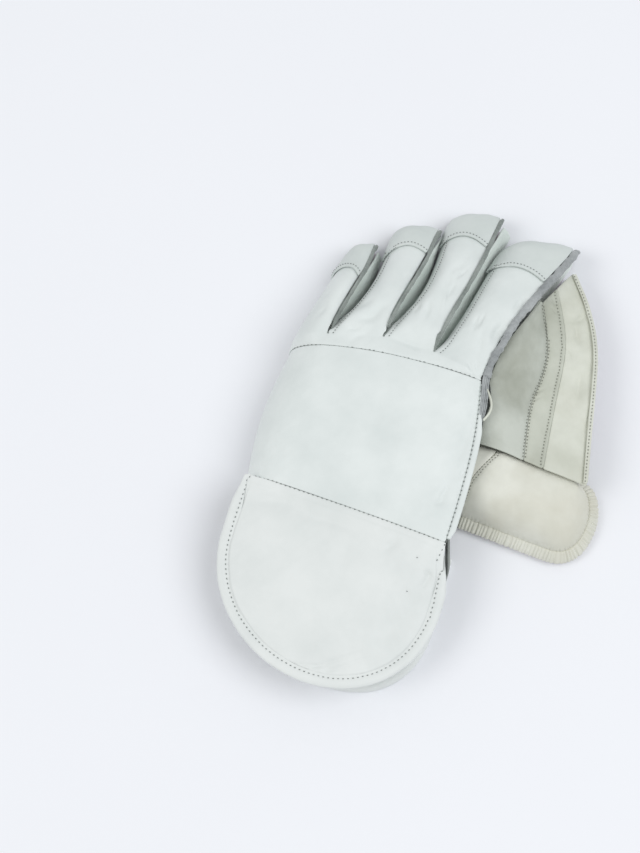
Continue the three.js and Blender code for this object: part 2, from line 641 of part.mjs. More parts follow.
// The raised raw edges of the leather, sewn edge to edge, thin at the valley. Places are rows of the finger.
const WELT_START = 0.85;
const WELT_END = LAST_ROW - 1.7;
const WELT_OUT = 0.75;          // they stand this far from the finger's edge

function welt(finger) {
  const line = frameOn((t) => weltEdge(finger, mix(WELT_START, WELT_END, t)));
  const section = (t) => {
    const taper = mix(0.4, 1, smooth(t / 0.1));
    return strip(WELT_WIDTH * taper, WELT_RISE * 2 * taper, WELT_OUT + WELT_WIDTH / 2);
  };
  return bar(line, section, steps(18));
}

function indexWelt() {
  const finger = FINGERS[3];
  const line = frameOn((t) => fingerEdge(finger, mix(0, WELT_END, t), WELT_SIDE));
  const section = (t) => {
    const wave = INDEX_WELT_WAVE * Math.sin(t * Math.PI * 2 * INDEX_WELT_WAVES);
    return strip(INDEX_WELT_WIDTH, INDEX_WELT_RISE * 2, WELT_OUT + INDEX_WELT_WIDTH / 2 + wave, wave);
  };
  return bar(line, section, steps(26, 0.012));
}

// Padded leather panel over the back of the hand. The padding thins towards its seams, and how steeply is
// given by its slope at the wrist and the knuckles, at the thumb side and at the outer side.
const PAD_SLOPES = { ends: 12, thumb: 14, outer: 8 };

function backPad() {
  const sheet = new Sheet();
  const columns = [0, 0.02, 0.06, 0.12, 0.2, 0.3, 0.45, 0.6, 0.75, 0.88, 0.96, 1];
  const rows = [0.002, 0.08, 0.22, 0.4, 0.58, 0.76, 0.92, 0.994];
  const padded = (a, v) => {
    const { ends, thumb, outer } = PAD_SLOPES;
    const inside = Math.min(1, Math.min(v, 1 - v) * ends, (1 - a) * thumb, a * outer);
    return mix(PAD_EDGE, PAD_THICKNESS, smooth(inside));
  };
  sheet.patch(handBack, columns, rows, padded);
  return sheet.thicken();
}

// Flat lip of the seam down the thumb side of the back.
function sideSeam() {
  const line = frameOn((t) => handBack(1, mix(0.02, 0.985, t)));
  const lip = strip(SIDE_SEAM_WIDTH, PAD_EDGE, SEAM_GAP + SIDE_SEAM_WIDTH / 2, -SIDE_SEAM_DROP);
  return bar(line, () => lip, steps(12));
}

// Side of the hand between the back and the palm, with the thumb let into it.
const SIDE_END = 76;
function handSide() {
  const sheet = new Sheet();
  const wall = (s, h) => {
    const y = mix(SEAM_GAP + GAP, SIDE_END, s);
    const top = handBack(1, y / HAND_LENGTH);
    top.z -= PAD_EDGE + SIDE_TUCK;
    const u = (y - THUMB_CENTRE_Y) / (THUMB_WIDTH / 2);
    const sill = Math.abs(u) < 1 ? thumbTop(u, 0).z : TOUCH;
    const foot = vector(THUMB_BASE_X - SIDE_SETBACK, y, Math.max(TOUCH, sill));
    return foot.lerp(top, h);
  };
  const places = [1, 0.965, 0.9, 0.83, 0.75, 0.62, 0.52, 0.45, 0.38, 0.335, 0.29, 0.15, 0];
  sheet.patch(wall, places, [0, 0.5, 1], LEATHER);
  return sheet.thicken(0, TOUCH);
}

// Loose fold of leather that gapes beside the end of the side seam, from the knuckles down.
const LOOP_FROM = 0.96;         // shares of the hand's length
const LOOP_TO = 0.77;

function crotchLoop() {
  const bow = (t) => {
    const place = handBack(1, mix(LOOP_FROM, LOOP_TO, t));
    place.x += SIDE_SEAM_WIDTH + LOOP_OUT + LOOP_BOW * Math.sin(Math.PI * t);
    return place.setZ(place.z - LOOP_DROP);
  };
  return bar(frameOn(bow), () => strip(LOOP_WIDTH, LOOP_HEIGHT), steps(10));
}

// A flap with straight sides and a round end: u across from -1 to 1, v from its straight end 0 to its
// round end 1.
function flap(u, v, width, length, straight) {
  const round = length - straight;
  const turn = straight / length;
  if (v < turn) return { x: u * width / 2, y: v * length };
  const w = (v - turn) / (1 - turn);
  const [narrow, short] = [Math.sqrt(1 - w * w / 2), Math.sqrt(1 - u * u / 2)];
  return { x: u * narrow * width / 2, y: straight + round * w * short };
}

// Its outline, from one end of the straight edge round to the other.
function flapEdge(t, width, length, straight) {
  const round = length - straight;
  const side = straight / (2 * straight + Math.PI * (width / 4 + round / 2));
  if (t < side) return { x: -width / 2, y: straight * t / side };
  if (t > 1 - side) return { x: width / 2, y: straight * (1 - t) / side };
  const turn = Math.PI * (t - side) / (1 - 2 * side);
  return { x: -width / 2 * Math.cos(turn), y: straight + round * Math.sin(turn) };
}

function cuffPlace(x, y) {
  const share = y / CUFF_LENGTH;
  const narrow = x > 0 ? 1 - CUFF_TUCK * (1 - smooth(share * 3.5)) : 1;
  const fall = mix(CUFF_TOP, CUFF_END, smooth(share * 0.95));
  const side = CUFF_CROWN * (2 * x / CUFF_WIDTH) ** 2 * mix(0.5, 1, smooth(share * 3));
  return vector(x * narrow + CUFF_LEAN * share * share, -y - SEAM_GAP, fall - side);
}

const FLAP_COLUMNS = [-1, -0.93, -0.78, -0.56, -0.3, 0, 0.3, 0.56, 0.78, 0.93, 1];
const FLAP_ROWS = [0, 0.07, 0.2, 0.38, 0.52, 0.66, 0.8, 0.92, 1];

function cuffBack() {
  const sheet = new Sheet();
  const puffed = (u, v) => smooth(Math.min((0.94 - Math.abs(u)) * 8, v * 8, (0.95 - v) * 8));
  const top = (u, v) => {
    const { x, y } = flap(u, v, CUFF_WIDTH, CUFF_LENGTH, CUFF_STRAIGHT);
    const crease = CUFF_CREASE * Math.exp(-(((v - CREASE_ALONG) / CREASE_WIDTH) ** 2));
    return cuffPlace(x, y).add(vector(0, 0, CUFF_SWELL * puffed(u, v) - crease * puffed(u, 0.5)));
  };
  const padded = (u, v) => mix(PAD_EDGE, CUFF_PAD, puffed(u, v));
  sheet.patch((u, v) => top(-u, v), FLAP_COLUMNS, FLAP_ROWS, padded);
  return sheet.thicken();
}

function cuffBinding() {
  const curve = (t) => {
    const { x, y } = flapEdge(t, CUFF_WIDTH, CUFF_LENGTH, CUFF_STRAIGHT);
    const place = cuffPlace(x, y);
    place.z -= PAD_EDGE / 2;
    return place;
  };
  return bar(frameOn(curve), () => wrap(BINDING, PAD_EDGE, BINDING_LIP), steps(44, 0.002, BINDING_END));
}

// The flap on the palm side lies flat on the table.
function palmCuffPlace(x, y, z) {
  return vector(x + PALM_CUFF_LEAN * (y / PALM_CUFF_LENGTH) ** 2, -y - GAP, z);
}

function palmCuff() {
  const sheet = new Sheet();
  const straight = CUFF_STRAIGHT - BAND_WIDTH;
  const puffed = (u, v) => smooth(Math.min((0.94 - Math.abs(u)) * 6, v * 8, (0.95 - v) * 6));
  const under = (u, v) => {
    const { x, y } = flap(u, v, PALM_CUFF_WIDTH, PALM_CUFF_LENGTH - BAND_WIDTH - SEAM_GAP, straight);
    return palmCuffPlace(x, y + BAND_WIDTH + SEAM_GAP, PALM_CUFF_RAISE * (1 - puffed(u, Math.max(v, 0.3))));
  };
  sheet.patch(under, FLAP_COLUMNS, FLAP_ROWS, (u, v) => mix(PAD_EDGE, PALM_CUFF_PAD, puffed(u, v)));
  return sheet.thicken();
}

function palmCuffBand() {
  const sheet = new Sheet();
  const flat = (u, v) => palmCuffPlace(u * PALM_CUFF_WIDTH / 2, v * BAND_WIDTH, 0);
  sheet.patch(flat, steps(6, -1, 1), [0, 0.5, 1], PAD_EDGE);
  return sheet.thicken();
}

function palmCuffBinding() {
  const curve = (t) => {
    const { x, y } = flapEdge(t, PALM_CUFF_WIDTH, PALM_CUFF_LENGTH, CUFF_STRAIGHT);
    return palmCuffPlace(x, y, PALM_CUFF_RAISE + PAD_EDGE / 2);
  };
  return bar(frameOn(curve), () => wrap(BINDING, PAD_EDGE, BINDING_LIP), steps(44));
}

// Rubber sheet of the palm with its four fingers, a window at the crotch of the thumb and a wrist step.
const PALM_FOOT = 0.2;
const CROTCH_WINDOW = { fromX: 22, toX: 50, fromY: 62, toY: 82, peak: 7 };
const PEAK_COLUMN = 8;          // the column of the palm sheet at the peak of the window
const WRIST_STEP = { fromX: 6, toY: 17 };
const CROTCH_EASE = 25;         // length over which its side turns in from the thumb to the crotch

function palmSide(y) {
  return mix(THUMB_BASE_X - SEAM_GAP, CROTCH_X, smooth((y - WEB_FOOT_Y) / CROTCH_EASE));
}

function palmSheet() {
  const sheet = new Sheet();
  const palmEdge = (y) => handBack(0, clamp01(y / HAND_LENGTH)).x;
  const startOf = (finger) => finger.y + CROTCH_SLOPE + SLIT_SET;
  const slits = FINGERS.slice(0, 3).map((finger) => {
    const y = startOf(finger);
    return middle(palmRight(finger, y), palmLeft(nextTo(finger), y));
  });
  const xs = [
    null, middle(-HAND_WIDTH / 2, slits[0]), slits[0], middle(slits[0], slits[1]), slits[1],
    middle(slits[1], WRIST_STEP.fromX), WRIST_STEP.fromX, slits[2],
    middle(slits[2], CROTCH_WINDOW.toX), CROTCH_WINDOW.toX, CROTCH_X,
  ];
  const slitY = startOf(FINGERS[1]);
  const ys = [
    PALM_FOOT, WRIST_STEP.toY, middle(WRIST_STEP.toY, CROTCH_WINDOW.fromY), CROTCH_WINDOW.fromY,
    CROTCH_WINDOW.toY, middle(CROTCH_WINDOW.toY, slitY), slitY,
  ];
  const at = (i, j) => {
    if (xs[i] === null) return vector(palmEdge(ys[j]), ys[j], 0);
    const peak = i === PEAK_COLUMN && ys[j] === CROTCH_WINDOW.toY ? CROTCH_WINDOW.peak : 0;
    return vector(i === xs.length - 1 ? palmSide(ys[j]) : xs[i], ys[j] + peak, 0);
  };
  const cut = (i, j) => {
    const [x, y] = [xs[Math.floor(i)] ?? -HAND_WIDTH / 2, ys[Math.floor(j)]];
    const window = x >= slits[2] - 1 && x < CROTCH_WINDOW.toX - 1 && y === CROTCH_WINDOW.fromY;
    const step = x >= WRIST_STEP.fromX && y === PALM_FOOT;
    return !window && !step;
  };
  const columns = [...xs.keys()].reverse();
  sheet.patch((i, j) => at(i, j), columns, [...ys.keys()], FACING, (i, j) => cut(i, j));
  FINGERS.forEach((finger) => {
    const i = FINGERS.indexOf(finger);
    const bounds = [palmEdge(slitY), slits[0], slits[1], slits[2], CROTCH_X];
    const inner = xs.map((x) => x ?? bounds[0]).filter((x) => x >= bounds[i] && x <= bounds[i + 1]);
    const [low, high] = [inner[0], inner[inner.length - 1]];
    const shares = inner.map((x) => (x - low) / (high - low)).reverse();
    const under = (a, row) => {
      const end = tipY(finger) - TIP_ROUND * Math.abs(2 * a - 1) ** 3;
      const s = clamp01((row - SLIT_START.length + 1) / SLIT_ROWS);
      const y = s > 0 ? mix(slitY + SLIT_OPEN, end, s) : slitY + SLIT_OPEN * SLIT_START[row];
      const open = smooth((y - slitY) / SLIT_OPEN);
      const left = mix(low, palmLeft(finger, y), open);
      const right = mix(high, palmRight(finger, y), open);
      const taper = 1 - TIP_TAPER * smooth((s - 0.75) * 4);
      return vector(mix(left, right, 0.5 + (a - 0.5) * taper), y, 0);
    };
    const rows = [...Array(SLIT_START.length + SLIT_ROWS).keys()];
    sheet.patch(under, shares, rows, FACING);
  });
  return sheet.thicken();
}

// Soft inner leather that shows in the windows of the palm sheet.
const LINING_AREA = { fromX: -10, toX: 48, fromY: 2, toY: 92 };

function palmLining() {
  const sheet = new Sheet();
  const { fromX, toX, fromY, toY } = LINING_AREA;
  sheet.patch((x, y) => vector(x, y, TOUCH + LINING), steps(4, fromX, toX), steps(4, fromY, toY), LINING);
  return sheet.thicken();
}

// Short lace across the window at the crotch.
const LACE_WIDTH = 4;
const LACE_INSET = 3;           // its ends lie this far from the window's upper and lower edge
const LACE_FROM = 22;           // and these distances from its thumb side
const LACE_TO = 7;

function crotchLace() {
  const { toX, fromY, toY } = CROTCH_WINDOW;
  const low = vector(toX - LACE_FROM, fromY + LACE_INSET, FACING / 2);
  const high = vector(toX - LACE_TO, toY - LACE_INSET, FACING / 2);
  const line = frameOn((t) => low.clone().lerp(high, t));
  return bar(line, (t) => strip(LACE_WIDTH * mix(0.6, 1, Math.sin(Math.PI * t)), FACING * 0.7), steps(6));
}

// Thumb: a soft stall with a round end. u runs across it, v from the hand to the tip.
const thumbDroop = (reach) => THUMB_DROOP * smooth(reach / THUMB_LENGTH);

function thumbPlan(u, v, lip = 0) {
  const round = THUMB_ROUND + lip;
  const { x, y } = flap(u, v, THUMB_WIDTH + 2 * lip, THUMB_LENGTH + lip, THUMB_LENGTH - round + lip);
  return vector(THUMB_BASE_X + y, THUMB_CENTRE_Y + x - thumbDroop(y), 0);
}

function thumbTop(u, v) {
  const point = thumbPlan(u, v);
  const across = (1 - Math.abs(u) ** 2.8) ** 0.5;
  const end = (1 - clamp01((v - 0.35) / 0.65) ** 2.6) ** 0.55;
  const fall = mix(0.92, 1, smooth(v * 4)) * mix(1, 0.88, v);
  point.z = TOUCH + (THUMB_HEIGHT - TOUCH) * fall * across * end;
  return point;
}

const THUMB_COLUMNS = [-1, -0.96, -0.85, -0.65, -0.35, 0, 0.35, 0.65, 0.85, 0.96, 1];
const FROM_THE_WEB = THUMB_COLUMNS.slice().reverse();
const GATHER_LIP = GATHER_RADIUS * 1.5; // the thumb's rubber sheet reaches this far past the stall

// Seam across the base of the thumb, a share of its length: it slants towards the tip on the web's side.
const thumbSeam = (u) => 0.03 + 0.13 * smooth((u + 0.3) / 1.2);

function thumbBack() {
  const sheet = new Sheet();
  const top = (u, s) => thumbTop(u, mix(thumbSeam(u), 1, s));
  sheet.patch(top, FROM_THE_WEB, [0, 0.14, 0.3, 0.46, 0.6, 0.72, 0.82, 0.9, 0.96, 1], LEATHER);
  return sheet.thicken(0, TOUCH);
}

function thumbBase() {
  const sheet = new Sheet();
  const top = (u, s) => thumbTop(u, mix(0, thumbSeam(u) - SEAM_GAP / THUMB_LENGTH, s));
  sheet.patch(top, FROM_THE_WEB, [0, 0.5, 1], LEATHER);
  return sheet.thicken(0, TOUCH);
}

function thumbSheet() {
  const sheet = new Sheet();
  const under = (u, v) => thumbPlan(u, v, GATHER_LIP);
  sheet.patch(under, THUMB_COLUMNS, [0, 0.25, 0.5, 0.66, 0.8, 0.92, 1], FACING);
  return sheet.thicken();
}

// The gathered edge round the thumb: its radius swells and shrinks with each pleat.
function thumbGather() {
  const straight = THUMB_LENGTH - THUMB_ROUND;
  const curve = (t) => {
    const { x, y } = flapEdge(t, THUMB_WIDTH, THUMB_LENGTH, straight);
    return vector(THUMB_BASE_X + y, THUMB_CENTRE_Y + x - thumbDroop(y), TOUCH + GATHER_RADIUS);
  };
  const around = 2 * straight + Math.PI * (THUMB_WIDTH / 4 + THUMB_ROUND / 2);
  const pleats = Math.round(around * (GATHER_END - GATHER_START) / GATHER_PITCH);
  const places = steps(pleats * 2, GATHER_START, GATHER_END);
  const section = (t) => {
    const swell = Math.cos(Math.PI * 2 * pleats * (t - GATHER_START) / (GATHER_END - GATHER_START));
    const radius = GATHER_RADIUS - GATHER_DEPTH * 0.5 * (1 - swell);
    return ring(radius, 6).map(([a, b]) => [a + GATHER_RADIUS + GAP, b]);
  };
  return bar(frameOn(curve), section, places);
}

// Web. Each line is read along its table, from the thumb to the index finger.
function webLine(name) {
  const rows = WEB_ROWS[name].map((row) => vector(
    CROTCH_X + row.x * THUMB_LENGTH,
    WEB_FOOT_Y + row.y * WEB_REACH,
    row.z * WEB_HEIGHT,
  ));
  const curve = new THREE.CatmullRomCurve3(rows, false, 'centripetal');
  return (t) => curve.getPoint(t);
}

const WEB_PARTS = [
  { name: 'web_inner_panel', from: 'root', to: 'seam_one', puff: 2.5 },
  { name: 'web_strip', from: 'seam_one', to: 'seam_two', puff: 0.6 },
  { name: 'web_outer_panel', from: 'seam_two', to: 'free', puff: 1.4 },
];

function webPanel(part) {
  const sheet = new Sheet();
  const [from, to] = [webLine(part.from), webLine(part.to)];
  const surface = (a, t) => {
    const [start, end] = [from(t), to(t)];
    const width = start.distanceTo(end);
    const trim = Math.min(0.2, SEAM_GAP / 2 / Math.max(1, width));
    const point = start.lerp(end, mix(trim, 1 - trim, a));
    point.z += part.puff * Math.sin(Math.PI * a) * smooth(width / WEB_PUFF_WIDTH);
    return fold(point);
  };
  sheet.patch(surface, steps(4), steps(9), LEATHER);
  return sheet.thicken();
}

// Folded hem on the web's free side.
const HEM_LIFT = 0.9;           // it clears the chords of the panel under it by this much more than a gap
const HEM_OUT = 0.4;            // and stands out past the panel

function webHem() {
  const [free, inner] = [webLine('free'), webLine('seam_two')];
  const along = frameOn(free);
  const onPanel = (t) => {
    const { place, side } = along(t);
    const ahead = side.clone().cross(vector(0, 0, 1)).negate();
    const out = place.clone().sub(inner(t));
    out.addScaledVector(ahead, -out.dot(ahead)).normalize();
    return { place, side: out, up: out.clone().cross(ahead).normalize() };
  };
  const high = WEB_HEM_THICKNESS / 2 + GAP + HEM_LIFT;
  const section = strip(WEB_HEM, WEB_HEM_THICKNESS, -WEB_HEM / 2 + HEM_OUT, high);
  return bar((t) => onPanel(mix(0.004, 0.99, t)), () => section, steps(16));
}

// Rubber under the web, from the index finger and the thumb up to the hem.
const WEB_SHEET_END = 17;       // it ends this far short of the tip of the palm's index finger
const WEB_SHEET_INSET = 1;      // its free edge lies this far inside the web's
const WEB_SHEET_CLEAR = 1.5;    // and this far below the leather
const WEB_OPENING = { after: 4, over: 12 }; // where it leaves the crotch for the side of the index finger

function webSheet() {
  const sheet = new Sheet();
  const finger = FINGERS[3];
  const free = webLine('free');
  const start = THUMB_CENTRE_Y + THUMB_WIDTH / 2 + GATHER_LIP + SEAM_GAP;
  const under = (a, s) => {
    const y = mix(start, tipY(finger) - WEB_SHEET_END, s);
    const open = smooth((y - finger.y - WEB_OPENING.after) / WEB_OPENING.over);
    const inner = vector(mix(palmSide(y), palmRight(finger, y), open) + SEAM_GAP * 3, y, 0);
    const edge = free(mix(0.09, 0.97, s));
    edge.z = mix(TOUCH, edge.z - LEATHER - FACING - WEB_SHEET_CLEAR, smooth(s * 5));
    edge.x -= WEB_SHEET_INSET;
    const point = inner.clone().lerp(edge, a);
    point.z = edge.z * a ** 1.6;
    return point;
  };
  sheet.patch((a, s) => under(1 - a, s), steps(5), steps(8), FACING);
  return sheet.thicken();
}

// Assembly
const leather = { color: 0xe9ede9, roughness: 0.55, metalness: 0 };
const MATERIALS = {
  leather: new THREE.MeshStandardMaterial(leather),
  web: new THREE.MeshStandardMaterial({ ...leather, color: 0xe2e2d8 }),
  thumb: new THREE.MeshStandardMaterial({ ...leather, color: 0xdcdbd0 }),
  gusset: new THREE.MeshStandardMaterial({ color: 0xa9b3ad, roughness: 0.8, metalness: 0 }),
  welt: new THREE.MeshStandardMaterial({ color: 0x9da5a2, roughness: 0.85, metalness: 0 }),
  side: new THREE.MeshStandardMaterial({ ...leather, color: 0xb9bdb6 }),
  rubber: new THREE.MeshStandardMaterial({ color: 0xddd6dc, roughness: 0.7, metalness: 0 }),
  lining: new THREE.MeshStandardMaterial({ color: 0xa8a89c, roughness: 0.85, metalness: 0 }),
};
const glove = new THREE.Group();

function add(name, geometry, material) {
  const mesh = new THREE.Mesh(geometry, MATERIALS[material]);
  mesh.name = name;
  glove.add(mesh);
  return mesh;
}

add('back_pad', backPad(), 'leather');
add('side_seam', sideSeam(), 'leather');
add('crotch_loop', crotchLoop(), 'leather');
add('finger_leather', fingerLeather(), 'leather');
FINGERS.forEach((finger) => {
  add(`tip_cap_${finger.name}`, tipCap(finger), 'leather');
  if (isIndex(finger)) return;
  add(`welt_${finger.name}`, welt(finger), 'welt');
  add(`gusset_${finger.name}`, gusset(finger), 'gusset');
});
add('welt_index', indexWelt(), 'welt');
add('gusset_index', indexWall(), 'gusset');
add('hand_side', handSide(), 'side');
add('palm_sheet', palmSheet(), 'rubber');
add('palm_lining', palmLining(), 'lining');
add('crotch_lace', crotchLace(), 'leather');
add('cuff_back', cuffBack(), 'leather');
add('cuff_back_binding', cuffBinding(), 'leather');
add('cuff_palm', palmCuff(), 'leather');
add('cuff_palm_band', palmCuffBand(), 'leather');
add('cuff_palm_binding', palmCuffBinding(), 'leather');
add('thumb_back', thumbBack(), 'thumb');
add('thumb_base', thumbBase(), 'thumb');
add('thumb_sheet', thumbSheet(), 'rubber');
add('thumb_gather', thumbGather(), 'thumb');
WEB_PARTS.forEach((part) => add(part.name, webPanel(part), 'web'));
add('web_hem', webHem(), 'web');
add('web_sheet', webSheet(), 'rubber');

// The origin is the middle of the glove's footprint, on the table.
const bounds = new THREE.Box3().setFromObject(glove);
glove.position.set(-(bounds.min.x + bounds.max.x) / 2, -(bounds.min.y + bounds.max.y) / 2, -bounds.min.z);
glove.updateMatrixWorld(true);

export default glove;
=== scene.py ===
# %% [markdown]
# # A wicketkeeping glove
# A left-hand glove lies palm down on a pale table. Its back is smooth white leather over soft padding, its
# palm is a rubber sheet with small rings moulded into it, and a web of leather joins the thumb and the
# index finger. Every leather part is a copy of the frame's own solid. The copy is rounded, softened and
# wrinkled, and then the seams are sewn on it. That keeps each part where the frame has it.

import json
import math

import bmesh
import bpy
import numpy as np
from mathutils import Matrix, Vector
from mathutils.bvhtree import BVHTree
from mathutils.kdtree import KDTree

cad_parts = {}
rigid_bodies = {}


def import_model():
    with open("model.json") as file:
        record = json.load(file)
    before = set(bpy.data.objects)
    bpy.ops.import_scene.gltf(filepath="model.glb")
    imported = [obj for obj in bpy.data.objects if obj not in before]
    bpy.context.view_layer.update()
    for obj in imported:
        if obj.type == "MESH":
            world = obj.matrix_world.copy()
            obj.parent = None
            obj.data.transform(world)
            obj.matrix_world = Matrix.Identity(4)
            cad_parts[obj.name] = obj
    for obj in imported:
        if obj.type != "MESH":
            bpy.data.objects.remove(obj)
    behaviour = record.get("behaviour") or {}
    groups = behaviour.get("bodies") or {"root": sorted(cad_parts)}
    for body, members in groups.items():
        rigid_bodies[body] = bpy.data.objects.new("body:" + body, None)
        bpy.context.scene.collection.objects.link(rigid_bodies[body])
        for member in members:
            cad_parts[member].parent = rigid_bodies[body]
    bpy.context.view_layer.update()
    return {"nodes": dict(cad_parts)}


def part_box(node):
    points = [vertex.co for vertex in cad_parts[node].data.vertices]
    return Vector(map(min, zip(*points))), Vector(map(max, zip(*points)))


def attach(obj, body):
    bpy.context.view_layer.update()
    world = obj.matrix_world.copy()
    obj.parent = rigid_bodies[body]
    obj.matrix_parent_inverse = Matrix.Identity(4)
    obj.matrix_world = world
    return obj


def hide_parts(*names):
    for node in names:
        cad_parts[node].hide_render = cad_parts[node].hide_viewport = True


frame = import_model()
nodes = frame["nodes"]
MM = 0.001

# %% [markdown]
# Sizes on a glove are easiest to give from the middle of the wrist seam, with x towards the thumb and y
# towards the fingertips, in millimetres. The strip across the wrist of the palm starts on that seam, so its
# box says where the seam is in the frame.

# %% Millimetres from the wrist seam
band_low, band_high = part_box("cuff_palm_band")
WRIST = Vector(((band_low.x + band_high.x) / 2, band_high.y + 0.3 * MM, 0))


def place(x, y, z=0.0):
    return WRIST + Vector((x, y, z)) * MM


def plan(co):
    """Millimetres from the wrist seam of an array of points."""
    return (co - np.array(WRIST)) / MM


print("wrist seam at", WRIST)

# %% [markdown]
# The camera looks down steeply from the cuff's side. A long lens keeps the glove's proportions, and the
# view stays level, so only two angles are needed: a turn about the vertical and a tilt from straight down.

# %% Camera
LENS = 68.07
CAMERA_AT = (71.39, -252.35, 1008.48)   # millimetres from the wrist seam
TILT, TURN = 18, 20                     # degrees
scene = bpy.context.scene
camera_data = bpy.data.cameras.new("camera")
camera_data.lens = LENS
camera = bpy.data.objects.new("camera", camera_data)
camera.location = place(*CAMERA_AT)
camera.rotation_euler = (math.radians(TILT), 0, math.radians(TURN))
scene.collection.objects.link(camera)
scene.camera = camera
print("camera at", tuple(round(v, 3) for v in camera.location))

# %% [markdown]
# White leather needs soft light with clear sides, or its folds vanish. One large lamp stands to the left of
# the cuff. A second stands higher on the right and reaches into the valleys between the fingers. The sky is
# pale. Both lamps are far away, so that the floor is evenly lit. The Standard view keeps white as white.

# %% Light and floor
scene.view_settings.view_transform = "Standard"
scene.view_settings.look = "None"


def lamp(name, at, size, power, colour):
    data = bpy.data.lights.new(name, "AREA")
    data.shape = "DISK"
    data.size = size
    data.energy = power
    data.color = colour
    obj = bpy.data.objects.new(name, data)
    obj.location = at
    obj.rotation_euler = (GLOVE_MIDDLE - Vector(at)).to_track_quat("-Z", "Y").to_euler()
    scene.collection.objects.link(obj)


GLOVE_MIDDLE = Vector((0, 0, 0.02))
SKY, SKY_STRENGTH = (0.96, 0.98, 1.0, 1), 0.6
FLOOR_SIZE = 6
lamp("key_light", (-2.1, -1.3, 2.7), size=1.9, power=30, colour=(1.0, 0.99, 0.97))
lamp("fill_light", (1.7, 0.3, 2.6), size=2.4, power=36, colour=(0.97, 0.99, 1.0))

world = bpy.data.worlds.new("studio")
world.use_nodes = True
background = world.node_tree.nodes["Background"]
background.inputs["Color"].default_value = SKY
background.inputs["Strength"].default_value = SKY_STRENGTH
scene.world = world

bpy.ops.mesh.primitive_plane_add(size=FLOOR_SIZE)
floor = bpy.context.object
floor.name = "floor"

# %% [markdown]
# A finish is a tree of shader nodes. Written as nodes it is long, so two small classes help. `Value` wraps
# a socket and turns sums and products into Math nodes. `Finish` makes any other node from its type, its
# settings and the values of its sockets.

# %% Shader maths
class Value:
    def __init__(self, finish, socket):
        self.finish, self.socket = finish, socket

    def maths(self, operation, *others):
        values = {i: other for i, other in enumerate(others, 1)}
        return self.finish.node("ShaderNodeMath", {"operation": operation}, {0: self, **values})

    def __add__(self, other):
        return self.maths("ADD", other)

    def __mul__(self, other):
        return self.maths("MULTIPLY", other)

    __radd__, __rmul__ = __add__, __mul__

    def clamped(self, low, high):
        """0 below low, 1 above high and even between."""
        values = {"Value": self, "From Min": low, "From Max": high}
        return self.finish.node("ShaderNodeMapRange", {"clamp": True}, values)


class Finish:
    def __init__(self, name):
        self.material = bpy.data.materials.new(name)
        self.material.use_nodes = True
        self.tree = self.material.node_tree
        self.shader = self.tree.nodes["Principled BSDF"]
        self.place = self.node("ShaderNodeTexCoord", output="Object")

    def node(self, kind, settings=None, values=None, output=0):
        node = self.tree.nodes.new(kind)
        for key, setting in (settings or {}).items():
            setattr(node, key, setting)
        for key, value in (values or {}).items():
            self.fill(node.inputs[key], value)
        return Value(self, node.outputs[output])

    def fill(self, socket, value):
        if isinstance(value, Value):
            self.tree.links.new(value.socket, socket)
        else:
            socket.default_value = value

    def noise(self, scale, detail=3.0, roughness=0.55, distortion=0.0):
        values = {"Vector": self.place, "Scale": scale, "Detail": detail, "Roughness": roughness,
                  "Distortion": distortion}
        return self.node("ShaderNodeTexNoise", values=values)

    def pebbles(self, scale):
        values = {"Vector": self.place, "Scale": scale}
        return self.node("ShaderNodeTexVoronoi", {"feature": "F1"}, values)

    def blend(self, share, first, second):
        """Colour first where share is 0, second where it is 1."""
        node = self.tree.nodes.new("ShaderNodeMix")
        node.data_type = "RGBA"
        for socket, value in ((node.inputs[0], share), (node.inputs[6], first), (node.inputs[7], second)):
            self.fill(socket, value)
        return Value(self, node.outputs[2])

    def bump(self, height, distance, below=None):
        values = {"Height": height, "Distance": distance, "Strength": 1.0}
        if below:
            values["Normal"] = below
        return self.node("ShaderNodeBump", values=values)

    def set(self, **values):
        """Values for the shader's sockets; an underline in a key stands for a space."""
        for key, value in values.items():
            self.fill(self.shader.inputs[key.replace("_", " ")], value)


def rgb(red, green, blue):
    """A colour as seen on a screen, 0 to 255, for a shader."""
    return (*(((c / 255 + 0.055) / 1.055) ** 2.4 for c in (red, green, blue)), 1)


# %% [markdown]
# The floor is plain and pale, with only a trace of unevenness, so that the eye stays on the glove.

# %% Floor finish
paper = Finish("pale_floor")
paper.set(Base_Color=paper.blend(paper.noise(3.0), rgb(240, 241, 245), rgb(243, 244, 248)),
          Roughness=0.9, Specular_IOR_Level=0.1)
floor.data.materials.append(paper.material)

# %% [markdown]
# Smooth glove leather has three scales of detail: a faint cloudiness of colour over a few centimetres, fine
# creases a few millimetres long where it bends, and a grain of tiny pebbles. The creases and the grain are
# bumps, for they are too small to model. One function makes every leather, so that they stay related.

# %% Leather finishes
def leather(name, light, dark, roughness=0.5, grain=0.03 * MM, creases=0.10 * MM, stain=None):
    skin = Finish(name)
    cloud = skin.noise(28.0, detail=4.0).clamped(0.35, 0.7)
    colour = skin.blend(cloud, light, dark)
    if stain:
        spots = skin.noise(16.0, detail=5.0, distortion=0.6).clamped(0.5, 0.78)
        colour = skin.blend(spots * 0.55, colour, stain)
    fold = skin.noise(120.0, detail=5.0, distortion=1.2)
    patch = skin.noise(34.0, detail=1.0).clamped(0.42, 0.62)
    height = skin.bump(fold * patch, creases)
    pebbles = skin.pebbles(1500.0) + skin.noise(700.0, detail=2.0) * 0.6
    skin.set(Base_Color=colour, Roughness=skin.noise(60.0) * 0.16 + (roughness - 0.08),
             Normal=skin.bump(pebbles, grain, below=height), Specular_IOR_Level=0.35)
    return skin.material


